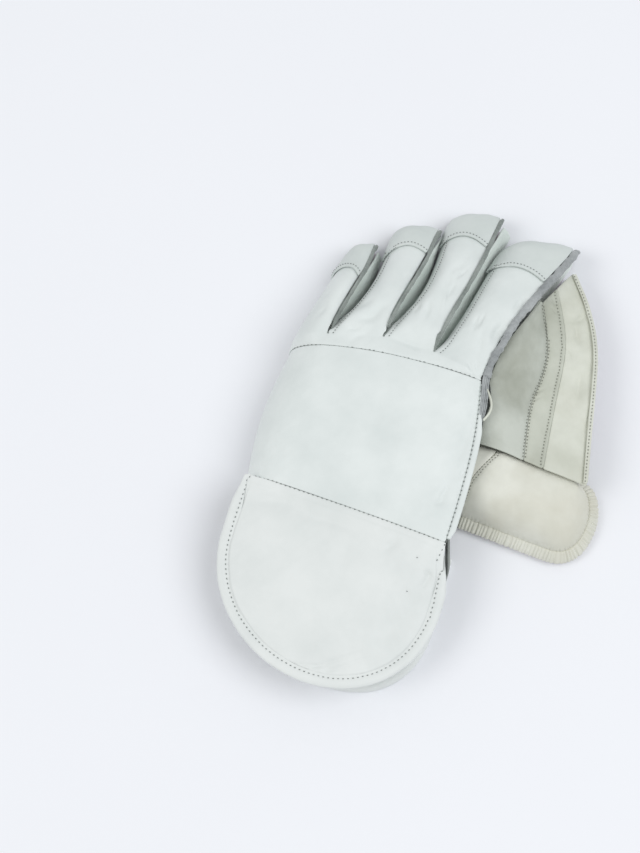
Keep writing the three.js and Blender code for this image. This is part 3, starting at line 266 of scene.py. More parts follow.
white_leather = leather("white_leather", rgb(228, 233, 231), rgb(217, 223, 221), 0.46)
# The caps' leather is a shade darker than the fingers' leather. This is painted shade, for the caps slope
# away from the light.
cap_leather = leather("cap_leather", rgb(216, 222, 219), rgb(204, 211, 208), 0.5)
cuff_leather = leather("cuff_leather", rgb(229, 232, 230), rgb(220, 224, 222), 0.46)
web_leather = leather("web_leather", rgb(222, 224, 213), rgb(202, 204, 191), 0.5, stain=rgb(192, 190, 170))
# The inner panel and the strip of the web are darker partly by their own tone and partly by painted shade,
# for they slope away from the light.
inner_leather_painted_shade = leather("inner_leather_painted_shade", rgb(198, 202, 193), rgb(162, 166, 155), 0.55,
                        stain=rgb(148, 150, 134))
strip_leather_painted_shade = leather("strip_leather_painted_shade", rgb(202, 205, 193), rgb(178, 181, 168), 0.55,
                        stain=rgb(160, 162, 142))
thumb_leather = leather("thumb_leather", rgb(230, 230, 220), rgb(213, 213, 201), 0.5,
                        stain=rgb(200, 196, 178))
trim_leather = leather("trim_leather", rgb(238, 239, 234), rgb(226, 228, 222), 0.5, creases=0.16 * MM)
side_leather = leather("side_leather", rgb(164, 168, 164), rgb(132, 137, 134), 0.7, grain=0.06 * MM)
lining_leather = leather("lining_leather", rgb(176, 178, 164), rgb(150, 152, 138), 0.75,
                         stain=rgb(150, 141, 104))

# %% [markdown]
# The walls between the fingers are soft split leather: matt, grey-green, with a short nap. Their colour is
# made much lighter than that, nearly white, as painted light for the shaded valleys between the fingers. The
# raised raw edges show the cut fibres of several layers, so they are greyer and much rougher.

# %% Suede finishes
def suede(name, light, dark, nap=0.12 * MM, scale=900.0):
    skin = Finish(name)
    patch = skin.noise(45.0, detail=5.0).clamped(0.32, 0.68)
    fibre = skin.noise(scale, detail=6.0, roughness=0.7, distortion=0.4)
    colour = skin.blend(fibre.clamped(0.3, 0.75) * 0.45 + patch * 0.55, dark, light)
    skin.set(Base_Color=colour, Roughness=0.92, Normal=skin.bump(fibre, nap), Specular_IOR_Level=0.15,
             Sheen_Weight=0.4, Sheen_Roughness=0.5)
    return skin.material


# Nearly white: painted light that lifts the shade in the valleys between the fingers.
gusset_suede_painted_light = suede("gusset_suede_painted_light", rgb(240, 247, 242), rgb(212, 221, 215))
# Dark suede, used only as painted shade in the slit beside the loop.
painted_shade_suede = suede("painted_shade_suede", rgb(84, 86, 84), rgb(52, 54, 53))
raw_edge = suede("raw_edge", rgb(166, 173, 168), rgb(104, 112, 108), nap=0.2 * MM, scale=650.0)
index_edge = suede("index_edge", rgb(190, 194, 194), rgb(126, 130, 132), nap=0.25 * MM, scale=520.0)

# %% [markdown]
# The palm's rubber is lilac-beige with lighter rings and yellowish stains from sweat and glue. The thread is
# a grey twist, darkened with the painted shade of the holes it sits in, so that next to white leather it
# reads as a row of dark dots.

# %% Rubber and thread finishes
def rubber(name, light, dark, stain):
    skin = Finish(name)
    cloud = skin.noise(22.0, detail=4.0).clamped(0.35, 0.7)
    colour = skin.blend(cloud, light, dark)
    spots = skin.noise(14.0, detail=5.0, distortion=0.8).clamped(0.52, 0.75)
    colour = skin.blend(spots * 0.7, colour, stain)
    skin.set(Base_Color=colour, Roughness=0.72, Normal=skin.bump(skin.noise(900.0, detail=3.0), 0.05 * MM))
    return skin.material


palm_rubber = rubber("palm_rubber", rgb(203, 195, 202), rgb(186, 178, 184), rgb(205, 194, 160))
ring_rubber = rubber("ring_rubber", rgb(228, 221, 228), rgb(214, 207, 211), rgb(222, 212, 182))


def twisted(name, light, dark):
    thread = Finish(name)
    twist = thread.noise(2600.0, detail=2.0)
    thread.set(Base_Color=thread.blend(twist, light, dark), Roughness=0.8,
               Normal=thread.bump(twist, 0.08 * MM), Sheen_Weight=0.2)
    return thread.material


# Both threads are darker than plain thread: they carry the painted shade of the stitch holes.
grey_thread_and_hole_shade = twisted("grey_thread_and_hole_shade", rgb(104, 110, 108), rgb(136, 141, 138))
pale_thread_and_hole_shade = twisted("pale_thread_and_hole_shade", rgb(104, 106, 95), rgb(138, 139, 127))
print(len(bpy.data.materials), "materials")

# %% [markdown]
# ## From faceted solid to leather
# A solid of the frame is a closed wall of flat facets. Merging its corners and joining its triangles into
# quads gives a cage that Catmull-Clark subdivision can round. The rims of the wall get a partial crease:
# they stay where they are, with the small rounding of a cut leather edge.

# %% Rounded copies
def cage(node):
    """The node's mesh as bmesh, with merged corners and quads."""
    bm = bmesh.new()
    bm.from_mesh(nodes[node].data)
    bmesh.ops.remove_doubles(bm, verts=bm.verts, dist=0.002 * MM)
    bmesh.ops.join_triangles(bm, faces=bm.faces, angle_face_threshold=math.radians(40),
                             angle_shape_threshold=math.radians(120))
    return bm


def add_object(name, mesh):
    obj = bpy.data.objects.new(name, mesh)
    scene.collection.objects.link(obj)
    return obj


def settled(obj):
    """Applies an object's modifiers to its mesh."""
    mesh = bpy.data.meshes.new_from_object(obj.evaluated_get(bpy.context.evaluated_depsgraph_get()))
    obj.modifiers.clear()
    obj.data = mesh
    mesh.name = obj.name
    mesh.shade_smooth()
    return obj


def finer(obj, levels=1):
    """Subdivides a piece and applies it."""
    smoothing = obj.modifiers.new("rounding", "SUBSURF")
    smoothing.levels = smoothing.render_levels = levels
    return settled(obj)


def rounded(node, level, crease, sharp=40):
    """A smooth copy of a node's solid. Edges that bend by more than sharp degrees are partly creased."""
    bm = cage(node)
    creases = bm.edges.layers.float.new("crease_edge")
    for edge in bm.edges:
        if len(edge.link_faces) == 2 and edge.calc_face_angle(0) > math.radians(sharp):
            edge[creases] = crease
    mesh = bpy.data.meshes.new("sewn_" + node)
    bm.to_mesh(mesh)
    bm.free()
    return finer(add_object("sewn_" + node, mesh), level)


def finished(obj, material):
    """Gives a piece one material only."""
    obj.data.materials.clear()
    obj.data.materials.append(material)


# %% [markdown]
# Softness is a matter of moving points. `shift` hands a piece's points to a function, as millimetres from
# the wrist seam, and moves them up or down by what it returns. The wrinkles are one table for the whole
# glove, so a fold that crosses a seam goes on in the next panel. Noise made of a few turned waves adds the
# slow unevenness of worn leather.

# %% Moving points
def points_of(obj):
    co = np.empty(len(obj.data.vertices) * 3)
    obj.data.vertices.foreach_get("co", co)
    return co.reshape(-1, 3)


def normals_of(obj):
    normals = np.empty(len(obj.data.vertices) * 3, np.float32)
    obj.data.vertex_normals.foreach_get("vector", normals)
    return normals.reshape(-1, 3).astype(float)


def put(obj, co):
    obj.data.vertices.foreach_set("co", co.ravel())
    obj.data.update()


def shift(obj, field, along_normal=False):
    co = points_of(obj)
    amount = field(plan(co)) * MM
    if along_normal:
        co += normals_of(obj) * amount[:, None]
    else:
        co[:, 2] += amount
    put(obj, co)


def waves(points, length, seed, count=7):
    """Smooth noise from -1 to 1: a sum of turned waves of about one length."""
    rng = np.random.default_rng(seed)
    total = np.zeros(len(points))
    for _ in range(count):
        turn = rng.normal(size=3)
        turn *= 2 * np.pi / (length * rng.uniform(0.6, 1.7)) / np.linalg.norm(turn)
        total += np.sin(points @ turn + rng.uniform(0, 2 * np.pi))
    return total / count ** 0.5 / 1.6


def rippled(obj, *ripples):
    """Moves a piece's skin in and out by waves, each given by its height, length and seed."""
    shift(obj, lambda points: sum(height * waves(points, length, seed) for height, length, seed in ripples),
          along_normal=True)


# Each row: middle x and y, turn in degrees, half length, half width, depth; a depth below zero is a ridge
WRINKLES = {
    "middle finger": [
        (11.4, 177.4, 51, 5.4, 1.3, 0.5), (14.5, 173.3, 53, 5.2, 1.2, 0.45), (12, 156.9, 90, 6, 1.6, 0.7),
        (11.1, 151.3, 88, 5.6, 1.3, -0.35), (13.5, 186.9, 62, 3.2, 1.2, 0.3), (-10.4, 146, 70, 4.1, 2.2, 0.6),
        (2.4, 138.4, 89, 5.6, 2.2, 0.6), (-4.6, 139.9, 88, 4.5, 1.8, 0.35),
    ],
    "index finger": [
        (34.5, 141.2, 90, 4, 1.3, 0.55), (37.1, 143.6, 91, 4.4, 1.1, 0.4), (55.9, 164.7, 88, 4.9, 1.3, 0.5),
        (58.7, 168, 91, 4.4, 1.1, 0.4), (41, 111.3, 117, 4.1, 1.4, 0.35), (44.1, 114.2, 119, 3.4, 1.1, 0.25),
        (49.5, 140.8, 86, 6.8, 3, 0.7), (39.8, 190.8, 171, 4.4, 1.5, 0.3),
    ],
    "ring and little finger": [
        (0.7, 113.6, 8, 13, 2.6, 0.45), (-25.5, 130.4, 60, 8.5, 3, 0.35), (8.4, 164, 91, 7.4, 2.2, 0.45),
        (8, 137.9, 92, 10.9, 3.4, 0.4), (41.2, 131.3, 93, 7.2, 2.6, 0.45), (-32.2, 107.2, 59, 8.2, 2.6, 0.3),
        (-30.4, 123, 54, 8.6, 4, 0.8), (-37.5, 129.7, 63, 6.2, 3, 0.5), (-37.4, 111, 41, 3.8, 2, 0.4),
        (-35.9, 149.6, 51, 3.4, 1.3, 0.3), (-62.2, 115.7, 79, 5.7, 2.5, 0.5),
        (-63.7, 130.1, 59, 3.3, 1.2, 0.3),
    ],
    "web": [
        (54.7, 135.8, 78, 6.5, 3, 0.9), (66.5, 121.9, 55, 6, 3, 0.6), (76.4, 179, 159, 3.8, 1.1, 0.45),
        (80.5, 174.2, 171, 3.6, 1.1, 0.4), (85.5, 115.9, 55, 5.3, 1.1, 0.45), (85.7, 110.9, 49, 4.9, 1, 0.35),
        (96.6, 176.7, 43, 6.2, 2.4, 0.8), (99.5, 164, 128, 7.3, 2, 0.6), (110.5, 130.5, 92, 10.1, 2.6, 0.7),
        (96.4, 150.6, 129, 4.4, 1.4, 0.4), (121.9, 111.5, 92, 8.8, 1.6, 0.35),
    ],
    "back": [
        (51.6, 72.4, 95, 25.2, 5, 0.7), (50.7, 22.5, 69, 3.9, 2.2, 0.6), (51.1, 29.2, 83, 4.3, 1.6, 0.45),
        (57.5, 45, 91, 4.1, 1.8, 0.4), (-46.5, 27.4, 1, 22.5, 12, 0.5),
    ],
    "cuff": [
        (-45.7, -12.6, 7, 16, 5, 0.9), (-9.3, -12.7, 173, 20.8, 5, 0.9), (31.5, -13.4, 86, 5.6, 3, 0.6),
        (58.1, -26.8, 79, 5.5, 2.2, 0.6), (58.6, -22.6, 147, 3.5, 1.2, 0.5),
        (22.3, -91.7, 35, 16.7, 1.3, 0.35),
        (26.9, -93.6, 37, 11.8, 1.1, 0.3), (10.1, -99.1, 11, 9.6, 1.1, 0.3), (50.1, -59.5, 84, 15.8, 8, 0.8),
        (-34.9, -75.4, 133, 9.5, 6, 0.5), (6.7, -36.8, 167, 8.1, 10, 0.4),
    ],
}


WRINKLE_DEPTH, FINGER_WRINKLE_DEPTH = 2.5, 3.2


def wrinkled(points):
    depth = np.zeros(len(points))
    for part, rows in WRINKLES.items():
        strength = FINGER_WRINKLE_DEPTH if "finger" in part else WRINKLE_DEPTH
        for x, y, turn, length, width, deep in rows:
            c, s = math.cos(math.radians(turn)), math.sin(math.radians(turn))
            along = ((points[:, 0] - x) * c + (points[:, 1] - y) * s) / length
            across = ((points[:, 1] - y) * c - (points[:, 0] - x) * s) / width
            bend = across + 0.35 * np.sin(along * 2.1 + x)
            depth -= strength * deep * np.exp(-along ** 2 - np.abs(bend) ** 1.6)
    return depth + 0.36 * waves(points, 24, 3) + 0.1 * waves(points, 7, 4)


print(sum(len(rows) for rows in WRINKLES.values()), "wrinkles")

# %% [markdown]
# A seam follows the rim of a panel. The rim is found on the frame's solid: its two large skins meet the
# narrow wall at sharp edges, and the border of the skin that faces a given way is one closed loop. A seam
# is a stretch of that loop, moved in from the rim along the finished surface.

# %% Rims and lines on a surface
def skin_rim(node, toward=(0, 0, 1), sharp=50):
    """The closed loop of points round the skin of a node that faces toward."""
    bm = cage(node)
    groups, seen = [], set()
    for start in bm.faces:
        if start in seen:
            continue
        group, queue = [], [start]
        seen.add(start)
        while queue:
            face = queue.pop()
            group.append(face)
            for edge in face.edges:
                if len(edge.link_faces) == 2 and edge.calc_face_angle(0) < math.radians(sharp):
                    for other in edge.link_faces:
                        if other not in seen:
                            seen.add(other)
                            queue.append(other)
        groups.append(group)
    groups.sort(key=lambda g: -sum(f.calc_area() for f in g))
    facing = max(groups[:2], key=lambda g: sum((f.normal.dot(Vector(toward)) * f.calc_area() for f in g)))
    inside = set(facing)
    follow = {}
    for face in facing:
        for loop in face.loops:
            if sum(f in inside for f in loop.edge.link_faces) == 1:
                follow[loop.vert] = loop.link_loop_next.vert
    first = max(follow, key=lambda v: v.co.x)
    loop, at = [first.co.copy()], follow[first]
    while at is not first and len(loop) < 5000:
        loop.append(at.co.copy())
        at = follow[at]
    bm.free()
    return loop


def length_of(line):
    return sum((b - a).length for a, b in zip(line, line[1:]))


def stretch(loop, start, end, long_way=False):
    """The part of a loop between the points nearest to start and end, given in millimetres."""
    start, end = place(*start), place(*end)
    i = min(range(len(loop)), key=lambda k: (loop[k] - start).length)
    j = min(range(len(loop)), key=lambda k: (loop[k] - end).length)
    ahead = [loop[(i + k) % len(loop)] for k in range((j - i) % len(loop) + 1)]
    back = [loop[(i - k) % len(loop)] for k in range((i - j) % len(loop) + 1)]
    return sorted((ahead, back), key=length_of)[long_way]


def array_of(line):
    return np.array([tuple(p) for p in line])


def spline(points, step):
    """A smooth line through points, with a corner about every step."""
    points = [Vector(p) for p in points]
    line = []
    for k in range(len(points) - 1):
        a, b, c, d = points[max(0, k - 1)], points[k], points[k + 1], points[min(len(points) - 1, k + 2)]
        count = max(1, round((c - b).length / step))
        for t in np.arange(count) / count:
            line.append(0.5 * ((2 * b) + (c - a) * t + (2 * a - 5 * b + 4 * c - d) * t * t
                               + (3 * b - a - 3 * c + d) * t ** 3))
    return line + [points[-1]]


SEAM_STEP = 0.8 * MM


def seam_line(rim, start, end, step=SEAM_STEP, long_way=False):
    """A smooth line along a stretch of a rim."""
    return spline(stretch(rim, start, end, long_way), step)


def whole(rim, step=1 * MM):
    """A smooth line all round a rim."""
    return spline(rim + rim[:1], step)


def tree_of(obj):
    return BVHTree.FromPolygons([v.co for v in obj.data.vertices], [p.vertices for p in obj.data.polygons])


def laid(line, tree, inset=0.0, toward=None, lift=0.05):
    """A line moved in from a rim by inset and laid on a surface, lift above it, in millimetres."""
    result = []
    for k, point in enumerate(line):
        ahead = (line[min(k + 1, len(line) - 1)] - line[max(k - 1, 0)]).normalized()
        at = point.copy()
        for _ in range(3):
            found, normal, _, _ = tree.find_nearest(at)
            side = normal.cross(ahead).normalized()
            if toward is not None and side.dot(place(*toward) - point) < 0:
                side = -side
            at = found + side * inset * MM / 3
        found, normal, _, _ = tree.find_nearest(at)
        above, over, _, _ = tree.ray_cast(found + Vector((0, 0, 8 * MM)), Vector((0, 0, -1)))
        if above is not None and above.z > found.z and (above - found).length < 3 * MM:
            found, normal = above, over
        result.append(found + normal * lift * MM)
    return result


def dropped(points, tree, lift=0.05):
    """A line of plan points dropped from above on to a surface."""
    result = []
    for x, y in points:
        found, normal, _, _ = tree.ray_cast(place(x, y, 200), Vector((0, 0, -1)))
        if found is not None:
            result.append(found + normal * lift * MM)
    return result


def beside(line, offset, toward):
    """Plan points offset to the side of a line, in millimetres."""
    flat = plan(array_of(line))[:, :2]
    ahead = np.gradient(flat, axis=0)
    side = np.column_stack([ahead[:, 1], -ahead[:, 0]]) / np.linalg.norm(ahead, axis=1)[:, None]
    turned = np.sign(((np.array(toward) - flat) * side).sum(axis=1))
    return [tuple(p) for p in flat + side * turned[:, None] * offset]


def points_tree(points):
    tree = KDTree(len(points))
    for i, p in enumerate(points):
        tree.insert(p, i)
    tree.balance()
    return tree


def around(co, line, reach):
    """Which points lie in the box round a line, widened by reach in millimetres."""
    line = array_of(line)
    low, high = line.min(axis=0) - reach * MM, line.max(axis=0) + reach * MM
    return np.nonzero(np.all((co > low) & (co < high), axis=1))[0]


def near(co, line, reach=20.0):
    """Distance in millimetres from each point to a line, or reach where it is further away."""
    tree = points_tree(line)
    distance = np.full(len(co), reach)
    for i in around(co, line, reach):
        distance[i] = min(reach, tree.find(co[i])[2] / MM)
    return distance


def press(obj, line, width=1.1, depth=0.3):
    """Pulls a piece in along a seam line, as thread does. It goes in along the skin's own direction."""
    co = points_of(obj)
    deep = depth * np.exp(-(near(co, line, 3 * width) / width) ** 2)
    put(obj, co - normals_of(obj) * (deep * MM)[:, None])


# %% [markdown]
# ## Stitches
# Stitches and the small rings of the rubber repeat one shape many times, which is what Geometry Nodes do
# best. A tree is written here as three short tables: its inputs, its nodes and its links. It works on bare
# points and edges. It ends in a real mesh, because instances would be lost in the export.

# %% Trees of Geometry Nodes
def node_tree(name, inputs, nodes, links):
    """A tree that turns a bare mesh into geometry, from its named inputs, its nodes and its links.

    A node is a type and settings, a link is a node, its output, a node and its input."""
    tree = bpy.data.node_groups.new(name, "GeometryNodeTree")
    tree.interface.new_socket("Geometry", in_out="INPUT", socket_type="NodeSocketGeometry")
    for title, (kind, default) in inputs.items():
        item = tree.interface.new_socket(title, in_out="INPUT", socket_type=kind)
        if default is not None:
            item.default_value = default
    tree.interface.new_socket("Geometry", in_out="OUTPUT", socket_type="NodeSocketGeometry")
    made = {"given": tree.nodes.new("NodeGroupInput"), "result": tree.nodes.new("NodeGroupOutput")}
    for title, (kind, settings) in nodes.items():
        node = made[title] = tree.nodes.new(kind)
        for key, value in settings.items():
            if key in node.inputs:
                node.inputs[key].default_value = value
            else:
                setattr(node, key, value)
    for start, output, end, into in links:
        tree.links.new(made[start].outputs[output], made[end].inputs[into])
    return tree


def grown(name, corners, edges, tree, material, **wanted):
    """One piece that a tree makes from bare points and edges."""
    mesh = bpy.data.meshes.new(name)
    mesh.from_pydata(corners, edges, [])
    obj = add_object(name, mesh)
    growth = obj.modifiers.new("growth", "NODES")
    growth.node_group = tree
    wanted["Material"] = material
    for item in tree.interface.items_tree:
        if item.in_out == "INPUT" and item.name in wanted:
            growth[item.identifier] = wanted[item.name]
    settled(obj)
    finished(obj, material)
    print(name, len(obj.data.polygons), "faces")
    return obj


LENGTH, COLOUR = "NodeSocketFloat", "NodeSocketMaterial"
# Every tree ends in the same way
ENDING = {"real": ("GeometryNodeRealizeInstances", {}), "smooth": ("GeometryNodeSetShadeSmooth", {}),
          "finish": ("GeometryNodeSetMaterial", {})}
ENDING_LINKS = [("each", 0, "real", 0), ("real", 0, "smooth", 0), ("smooth", 0, "finish", "Geometry"),
                ("given", "Material", "finish", "Material"), ("finish", 0, "result", 0)]

# %% [markdown]
# A row of stitches starts as a bare line. The tree resamples it to the stitch pitch and puts a small
# rounded bar on each point, turned along the line with a little scatter.

# %% Rows of stitches
STITCHES = node_tree(
    "stitch_row",
    {"Pitch": (LENGTH, 3.0 * MM), "Length": (LENGTH, 1.35 * MM), "Thickness": (LENGTH, 0.58 * MM),
     "Scatter": (LENGTH, 0.12), "Seed": ("NodeSocketInt", 1), "Material": (COLOUR, None)},
    {"path": ("GeometryNodeMeshToCurve", {}),
     "row": ("GeometryNodeResampleCurve", {"mode": "LENGTH"}),
     "ball": ("GeometryNodeMeshUVSphere", {"Segments": 6, "Rings": 5, "Radius": 0.5}),
     "size": ("ShaderNodeCombineXYZ", {}),
     "bar": ("GeometryNodeTransform", {}),
     "tangent": ("GeometryNodeInputTangent", {}),
     "low": ("ShaderNodeVectorMath", {"operation": "SCALE", "Scale": -1}),
     "scatter": ("FunctionNodeRandomValue", {"data_type": "FLOAT_VECTOR"}),
     "turned": ("ShaderNodeVectorMath", {"operation": "ADD"}),
     "align": ("FunctionNodeAlignRotationToVector", {"axis": "X"}),
     "each": ("GeometryNodeInstanceOnPoints", {}), **ENDING},
    [("given", "Geometry", "path", "Mesh"), ("path", 0, "row", "Curve"),
     ("given", "Pitch", "row", "Length"), ("given", "Length", "size", 0),
     ("given", "Thickness", "size", 1), ("given", "Thickness", "size", 2),
     ("ball", "Mesh", "bar", "Geometry"), ("size", 0, "bar", "Scale"),
     ("given", "Scatter", "low", 0), ("low", 0, "scatter", "Min"),
     ("given", "Scatter", "scatter", "Max"), ("given", "Seed", "scatter", "Seed"),
     ("tangent", 0, "turned", 0), ("scatter", "Value", "turned", 1), ("turned", 0, "align", "Vector"),
     ("row", 0, "each", "Points"), ("bar", 0, "each", "Instance"), ("align", 0, "each", "Rotation"),
     *ENDING_LINKS])


def stitches(name, lines, thread, **sizes):
    """One piece with a row of stitches along each line."""
    corners, edges = [], []
    for line in lines:
        edges += [(len(corners) + k, len(corners) + k + 1) for k in range(len(line) - 1)]
        corners += [tuple(p) for p in line]
    return grown(name, corners, edges, STITCHES, thread, **sizes)


# %% [markdown]
# ## Dressing a node
# Most leather parts take the same steps: round the solid, let the skin sink a little towards its seams,
# wrinkle it, give it its finish and let it stand for its node. One function does that, with the sizes that
# differ as arguments.

# %% Dressing
pieces = {}


def dressed(node, material, level=3, crease=0.5, rim=None, roll=0.4, roll_width=3.0, rough=1.0):
    obj = rounded(node, level, crease)
    finished(obj, material)
    if rim:
        distance = near(points_of(obj), whole(rim, 1.2 * MM), roll_width)
        fall = roll * np.clip(1 - distance / roll_width, 0, 1) ** 2
        shift(obj, lambda points: -fall)
    if rough:
        shift(obj, lambda points: rough * wrinkled(points))
    pieces[node] = obj
    print(node, len(obj.data.polygons), "faces")
    return obj


# %% [markdown]
# Two panels that are sewn edge to edge have a gap between them in the frame, so that they stay two solids.
# On the real glove the thread has pulled it shut. `sew` finds the line half way between two edges and draws
# both of them on to it. Only the few millimetres beside the line move.

# %% Closing a seam
def nearest_of(co, line):
    """For every point of a line, the nearest of some points."""
    close = co[around(co, line, 6)]
    tree = points_tree(close)
    return np.array([close[tree.find(p)[1]] for p in line])


def evened(values, reach=5):
    """A running mean along a line."""
    kernel = np.ones(2 * reach + 1) / (2 * reach + 1)
    return np.column_stack([np.convolve(np.pad(v, reach, "edge"), kernel, "valid") for v in values.T])


def meet(obj, line, reach=4.0):
    """Draws the edge of a piece on to a line."""
    co = points_of(obj)
    pull = evened(array_of(line) - nearest_of(co, line))
    tree = points_tree(line)
    for i in around(co, line, reach):
        _, k, distance = tree.find(co[i])
        if distance < reach * MM:
            share = 1 - distance / (reach * MM)
            co[i] += pull[k] * share * share * (3 - 2 * share)
    put(obj, co)


def sew(first, second, line, sink=0.0, reach=4.0):
    """Closes the gap between two pieces along a line near both of their edges, and returns the seam."""
    one, other = (nearest_of(points_of(obj), line) for obj in (first, second))
    middle = evened((one + other) / 2, 8)
    middle[:, 2] -= sink * MM
    seam = [Vector(p) for p in middle]
    for obj in (first, second):
        meet(obj, seam, reach)
    return seam


# %% [markdown]
# ## The back of the hand
# The back is one leather panel over foam. Cloth simulation gives it the taut, slightly uneven swell of a
# sewn pad: the rim is pinned where the seams hold it, and pressure fills the rest. The swell is capped, so
# that the pad stays in the space that the frame gives it.

# %% Inflating a pad
def inflate(obj, rim, pressure=4.0, cap=1.6, hold=2.2, frames=20):
    """Fills a closed piece by cloth simulation. Points within hold millimetres of the rim stay."""
    start = points_of(obj)
    distance = near(start, whole(rim, 1.2 * MM), hold + 5)
    pins = obj.vertex_groups.new(name="seams")
    for i, d in enumerate(distance):
        pins.add([i], float(np.clip(1 - (d - hold) / 4, 0, 1)), "REPLACE")
    cloth = obj.modifiers.new("filling", "CLOTH")
    cloth.settings.quality = 4
    cloth.settings.mass = 0.2
    cloth.settings.tension_stiffness = cloth.settings.compression_stiffness = 12
    cloth.settings.shear_stiffness = 6
    cloth.settings.bending_stiffness = 0.6
    cloth.settings.use_pressure = True
    cloth.settings.uniform_pressure_force = pressure
    cloth.settings.vertex_group_mass = "seams"
    cloth.settings.effector_weights.gravity = 0
    cloth.collision_settings.use_collision = False
    cloth.collision_settings.use_self_collision = False
    scene.frame_start, scene.frame_end = 1, frames
    for number in range(1, frames + 1):
        scene.frame_set(number)
    filled = obj.evaluated_get(bpy.context.evaluated_depsgraph_get())
    co = np.empty(len(filled.data.vertices) * 3)
    filled.data.vertices.foreach_get("co", co)
    moved = co.reshape(-1, 3) - start
    far = np.linalg.norm(moved, axis=1)
    scale = np.where(far > 0, cap * MM * np.tanh(far / (cap * MM)) / np.maximum(far, 1e-9), 0)
    obj.modifiers.clear()
    obj.vertex_groups.clear()
    scene.frame_set(1)
    put(obj, start + moved * scale[:, None])
    print(obj.name, "swells by", round(float((far * scale).max()) / MM, 2), "mm")


# %% Back pad
pad_rim = skin_rim("back_pad")
back = dressed("back_pad", white_leather, crease=0.6, rim=pad_rim, roll=0.5, roll_width=4, rough=0)
inflate(back, pad_rim)
finer(back)
shift(back, wrinkled)

# %% [markdown]
# ## Fingers
# The leather of the four fingers is one piece from the knuckle seam on. Over each fingertip a cap is sewn.
# Its edge is folded under, so it stands a little above the finger and throws the thin dark line of the arc.

# %% Finger leather and caps
FINGERS = ("little", "ring", "middle", "index")
finger_rim = skin_rim("finger_leather")
fingers = dressed("finger_leather", white_leather, rim=finger_rim, crease=0.6, roll=0.35)
cap_rims = {name: skin_rim("tip_cap_" + name, (0, -0.4, 1)) for name in FINGERS}
for name in FINGERS:
    dressed("tip_cap_" + name, cap_leather, rim=cap_rims[name], roll=0.25, roll_width=1.5)

# %% [markdown]
# ## Walls and raw edges between the fingers
# Grey split leather closes each finger on its thumb side, round the valley and up the next finger. Where it
# meets the back, both edges stand up together as a raw welt. Below it the wall swells into the valley. The
# welt is crumpled with noise, and the thick one along the index finger has grooves between its layers as
# well.

# %% Gussets and welts
GUSSET_FOOT, GUSSET_HEIGHT = 4, 36
GUSSET_SWELL = 4.2
for name in FINGERS:
    gusset = dressed("gusset_" + name, gusset_suede_painted_light, crease=0.4, rough=0)
    rippled(gusset, (0.35, 14, 9), (0.15, 5, 10))
    if name != "index":
        co = points_of(gusset)
        height = np.clip((co[:, 2] / MM - GUSSET_FOOT) / GUSSET_HEIGHT, 0, 1)
        co[:, 0] += GUSSET_SWELL * MM * np.sin(np.pi * height ** 0.7) ** 1.3
        put(gusset, co)
    edge = dressed("welt_" + name, index_edge if name == "index" else raw_edge, crease=0.25, rough=0)
    finer(edge)
    if name == "index":
        rippled(edge, (0.5, 9, 5), (0.35, 3.2, 6))
    else:
        rippled(edge, (0.2, 8, 7), (0.14, 2.6, 8))

# %% [markdown]
# The leather of a finger and its welt are one seam, so their edges are drawn together. Each line starts in
# the valley and ends where the fingertip folds down.

# %% Welts sewn to the fingers
WELT_LINES = {
    "little": ((-52.9, 102.3, 46), (-46.3, 181, 20)),
    "ring": ((-18.6, 112.2, 47), (-9.3, 205, 20)),
    "middle": ((15.3, 113.6, 47), (27.5, 227, 20)),
    "index": ((50, 109.5, 43), (77.5, 221, 23)),
}
LEFT, RIGHT = 0.5, -0.5
valley_lines = {}


def corner_of(name, side):
    """The lower left or lower right corner of a cap's rim, as seen from above."""
    return plan(np.array(min(cap_rims[name], key=lambda p: p.y + side * p.x)))


for name, (valley, tip) in WELT_LINES.items():
    line = seam_line(finger_rim, valley, tip, 1 * MM)
    sew(fingers, pieces["welt_" + name], line, reach=3)
    valley_lines[name] = line[:15]
    line = seam_line(cap_rims[name], corner_of(name, RIGHT), tip, 1 * MM)
    sew(pieces["tip_cap_" + name], pieces["welt_" + name], line, reach=3)

# %% Side of the hand
dressed("hand_side", side_leather, rough=0.5)
lip = dressed("side_seam", white_leather, crease=0.4, rough=0.5)
loop_piece = dressed("crotch_loop", web_leather, crease=0.3, rough=0)
side = seam_line(pad_rim, (61.8, 1, 38), (50.2, 105, 43), 1 * MM)
side_seam = sew(back, lip, side, sink=0.3, reach=3)


def narrowed(obj, line, low=74.0, high=103.0):
    """Draws a strip in towards a line along its edge, from nothing at low to almost all at high."""
    co = points_of(obj)
    tree = points_tree(line)
    y = plan(co)[:, 1]
    share = np.clip((y - low) / (high - low), 0, 0.9) + 0.6 * np.clip((9 - y) / 9, 0, 1)
    foot = np.array([tuple(line[tree.find(p)[1]]) for p in co])
    foot[:, 2] = co[:, 2]
    put(obj, co + (foot - co) * share[:, None])


narrowed(lip, side_seam)

# %% [markdown]
# The thick welt of the index finger goes on below the knuckle as three cut layers beside each other. A
# layer is a flat bar along a path: its section is a rounded rectangle that turns with the path and thins
# out at both ends.

# %% Bars and cut layers
def tube(name, corners, sides, material):
    """A closed tube. Its corners are one section of so many sides after the other."""
    faces = []
    for first in range(0, len(corners) - sides, sides):
        for j in range(sides):
            i, n = first + j, first + (j + 1) % sides
            faces.append((i, n, n + sides, i + sides))
    faces += [tuple(range(sides))[::-1], tuple(range(len(corners) - sides, len(corners)))]
    mesh = bpy.data.meshes.new(name)
    mesh.from_pydata([tuple(p) for p in corners], [], faces)
    bm = bmesh.new()
    bm.from_mesh(mesh)
    bmesh.ops.recalc_face_normals(bm, faces=bm.faces)
    bm.to_mesh(mesh)
    bm.free()
    mesh.materials.append(material)
    mesh.shade_smooth()
    return add_object(name, mesh)


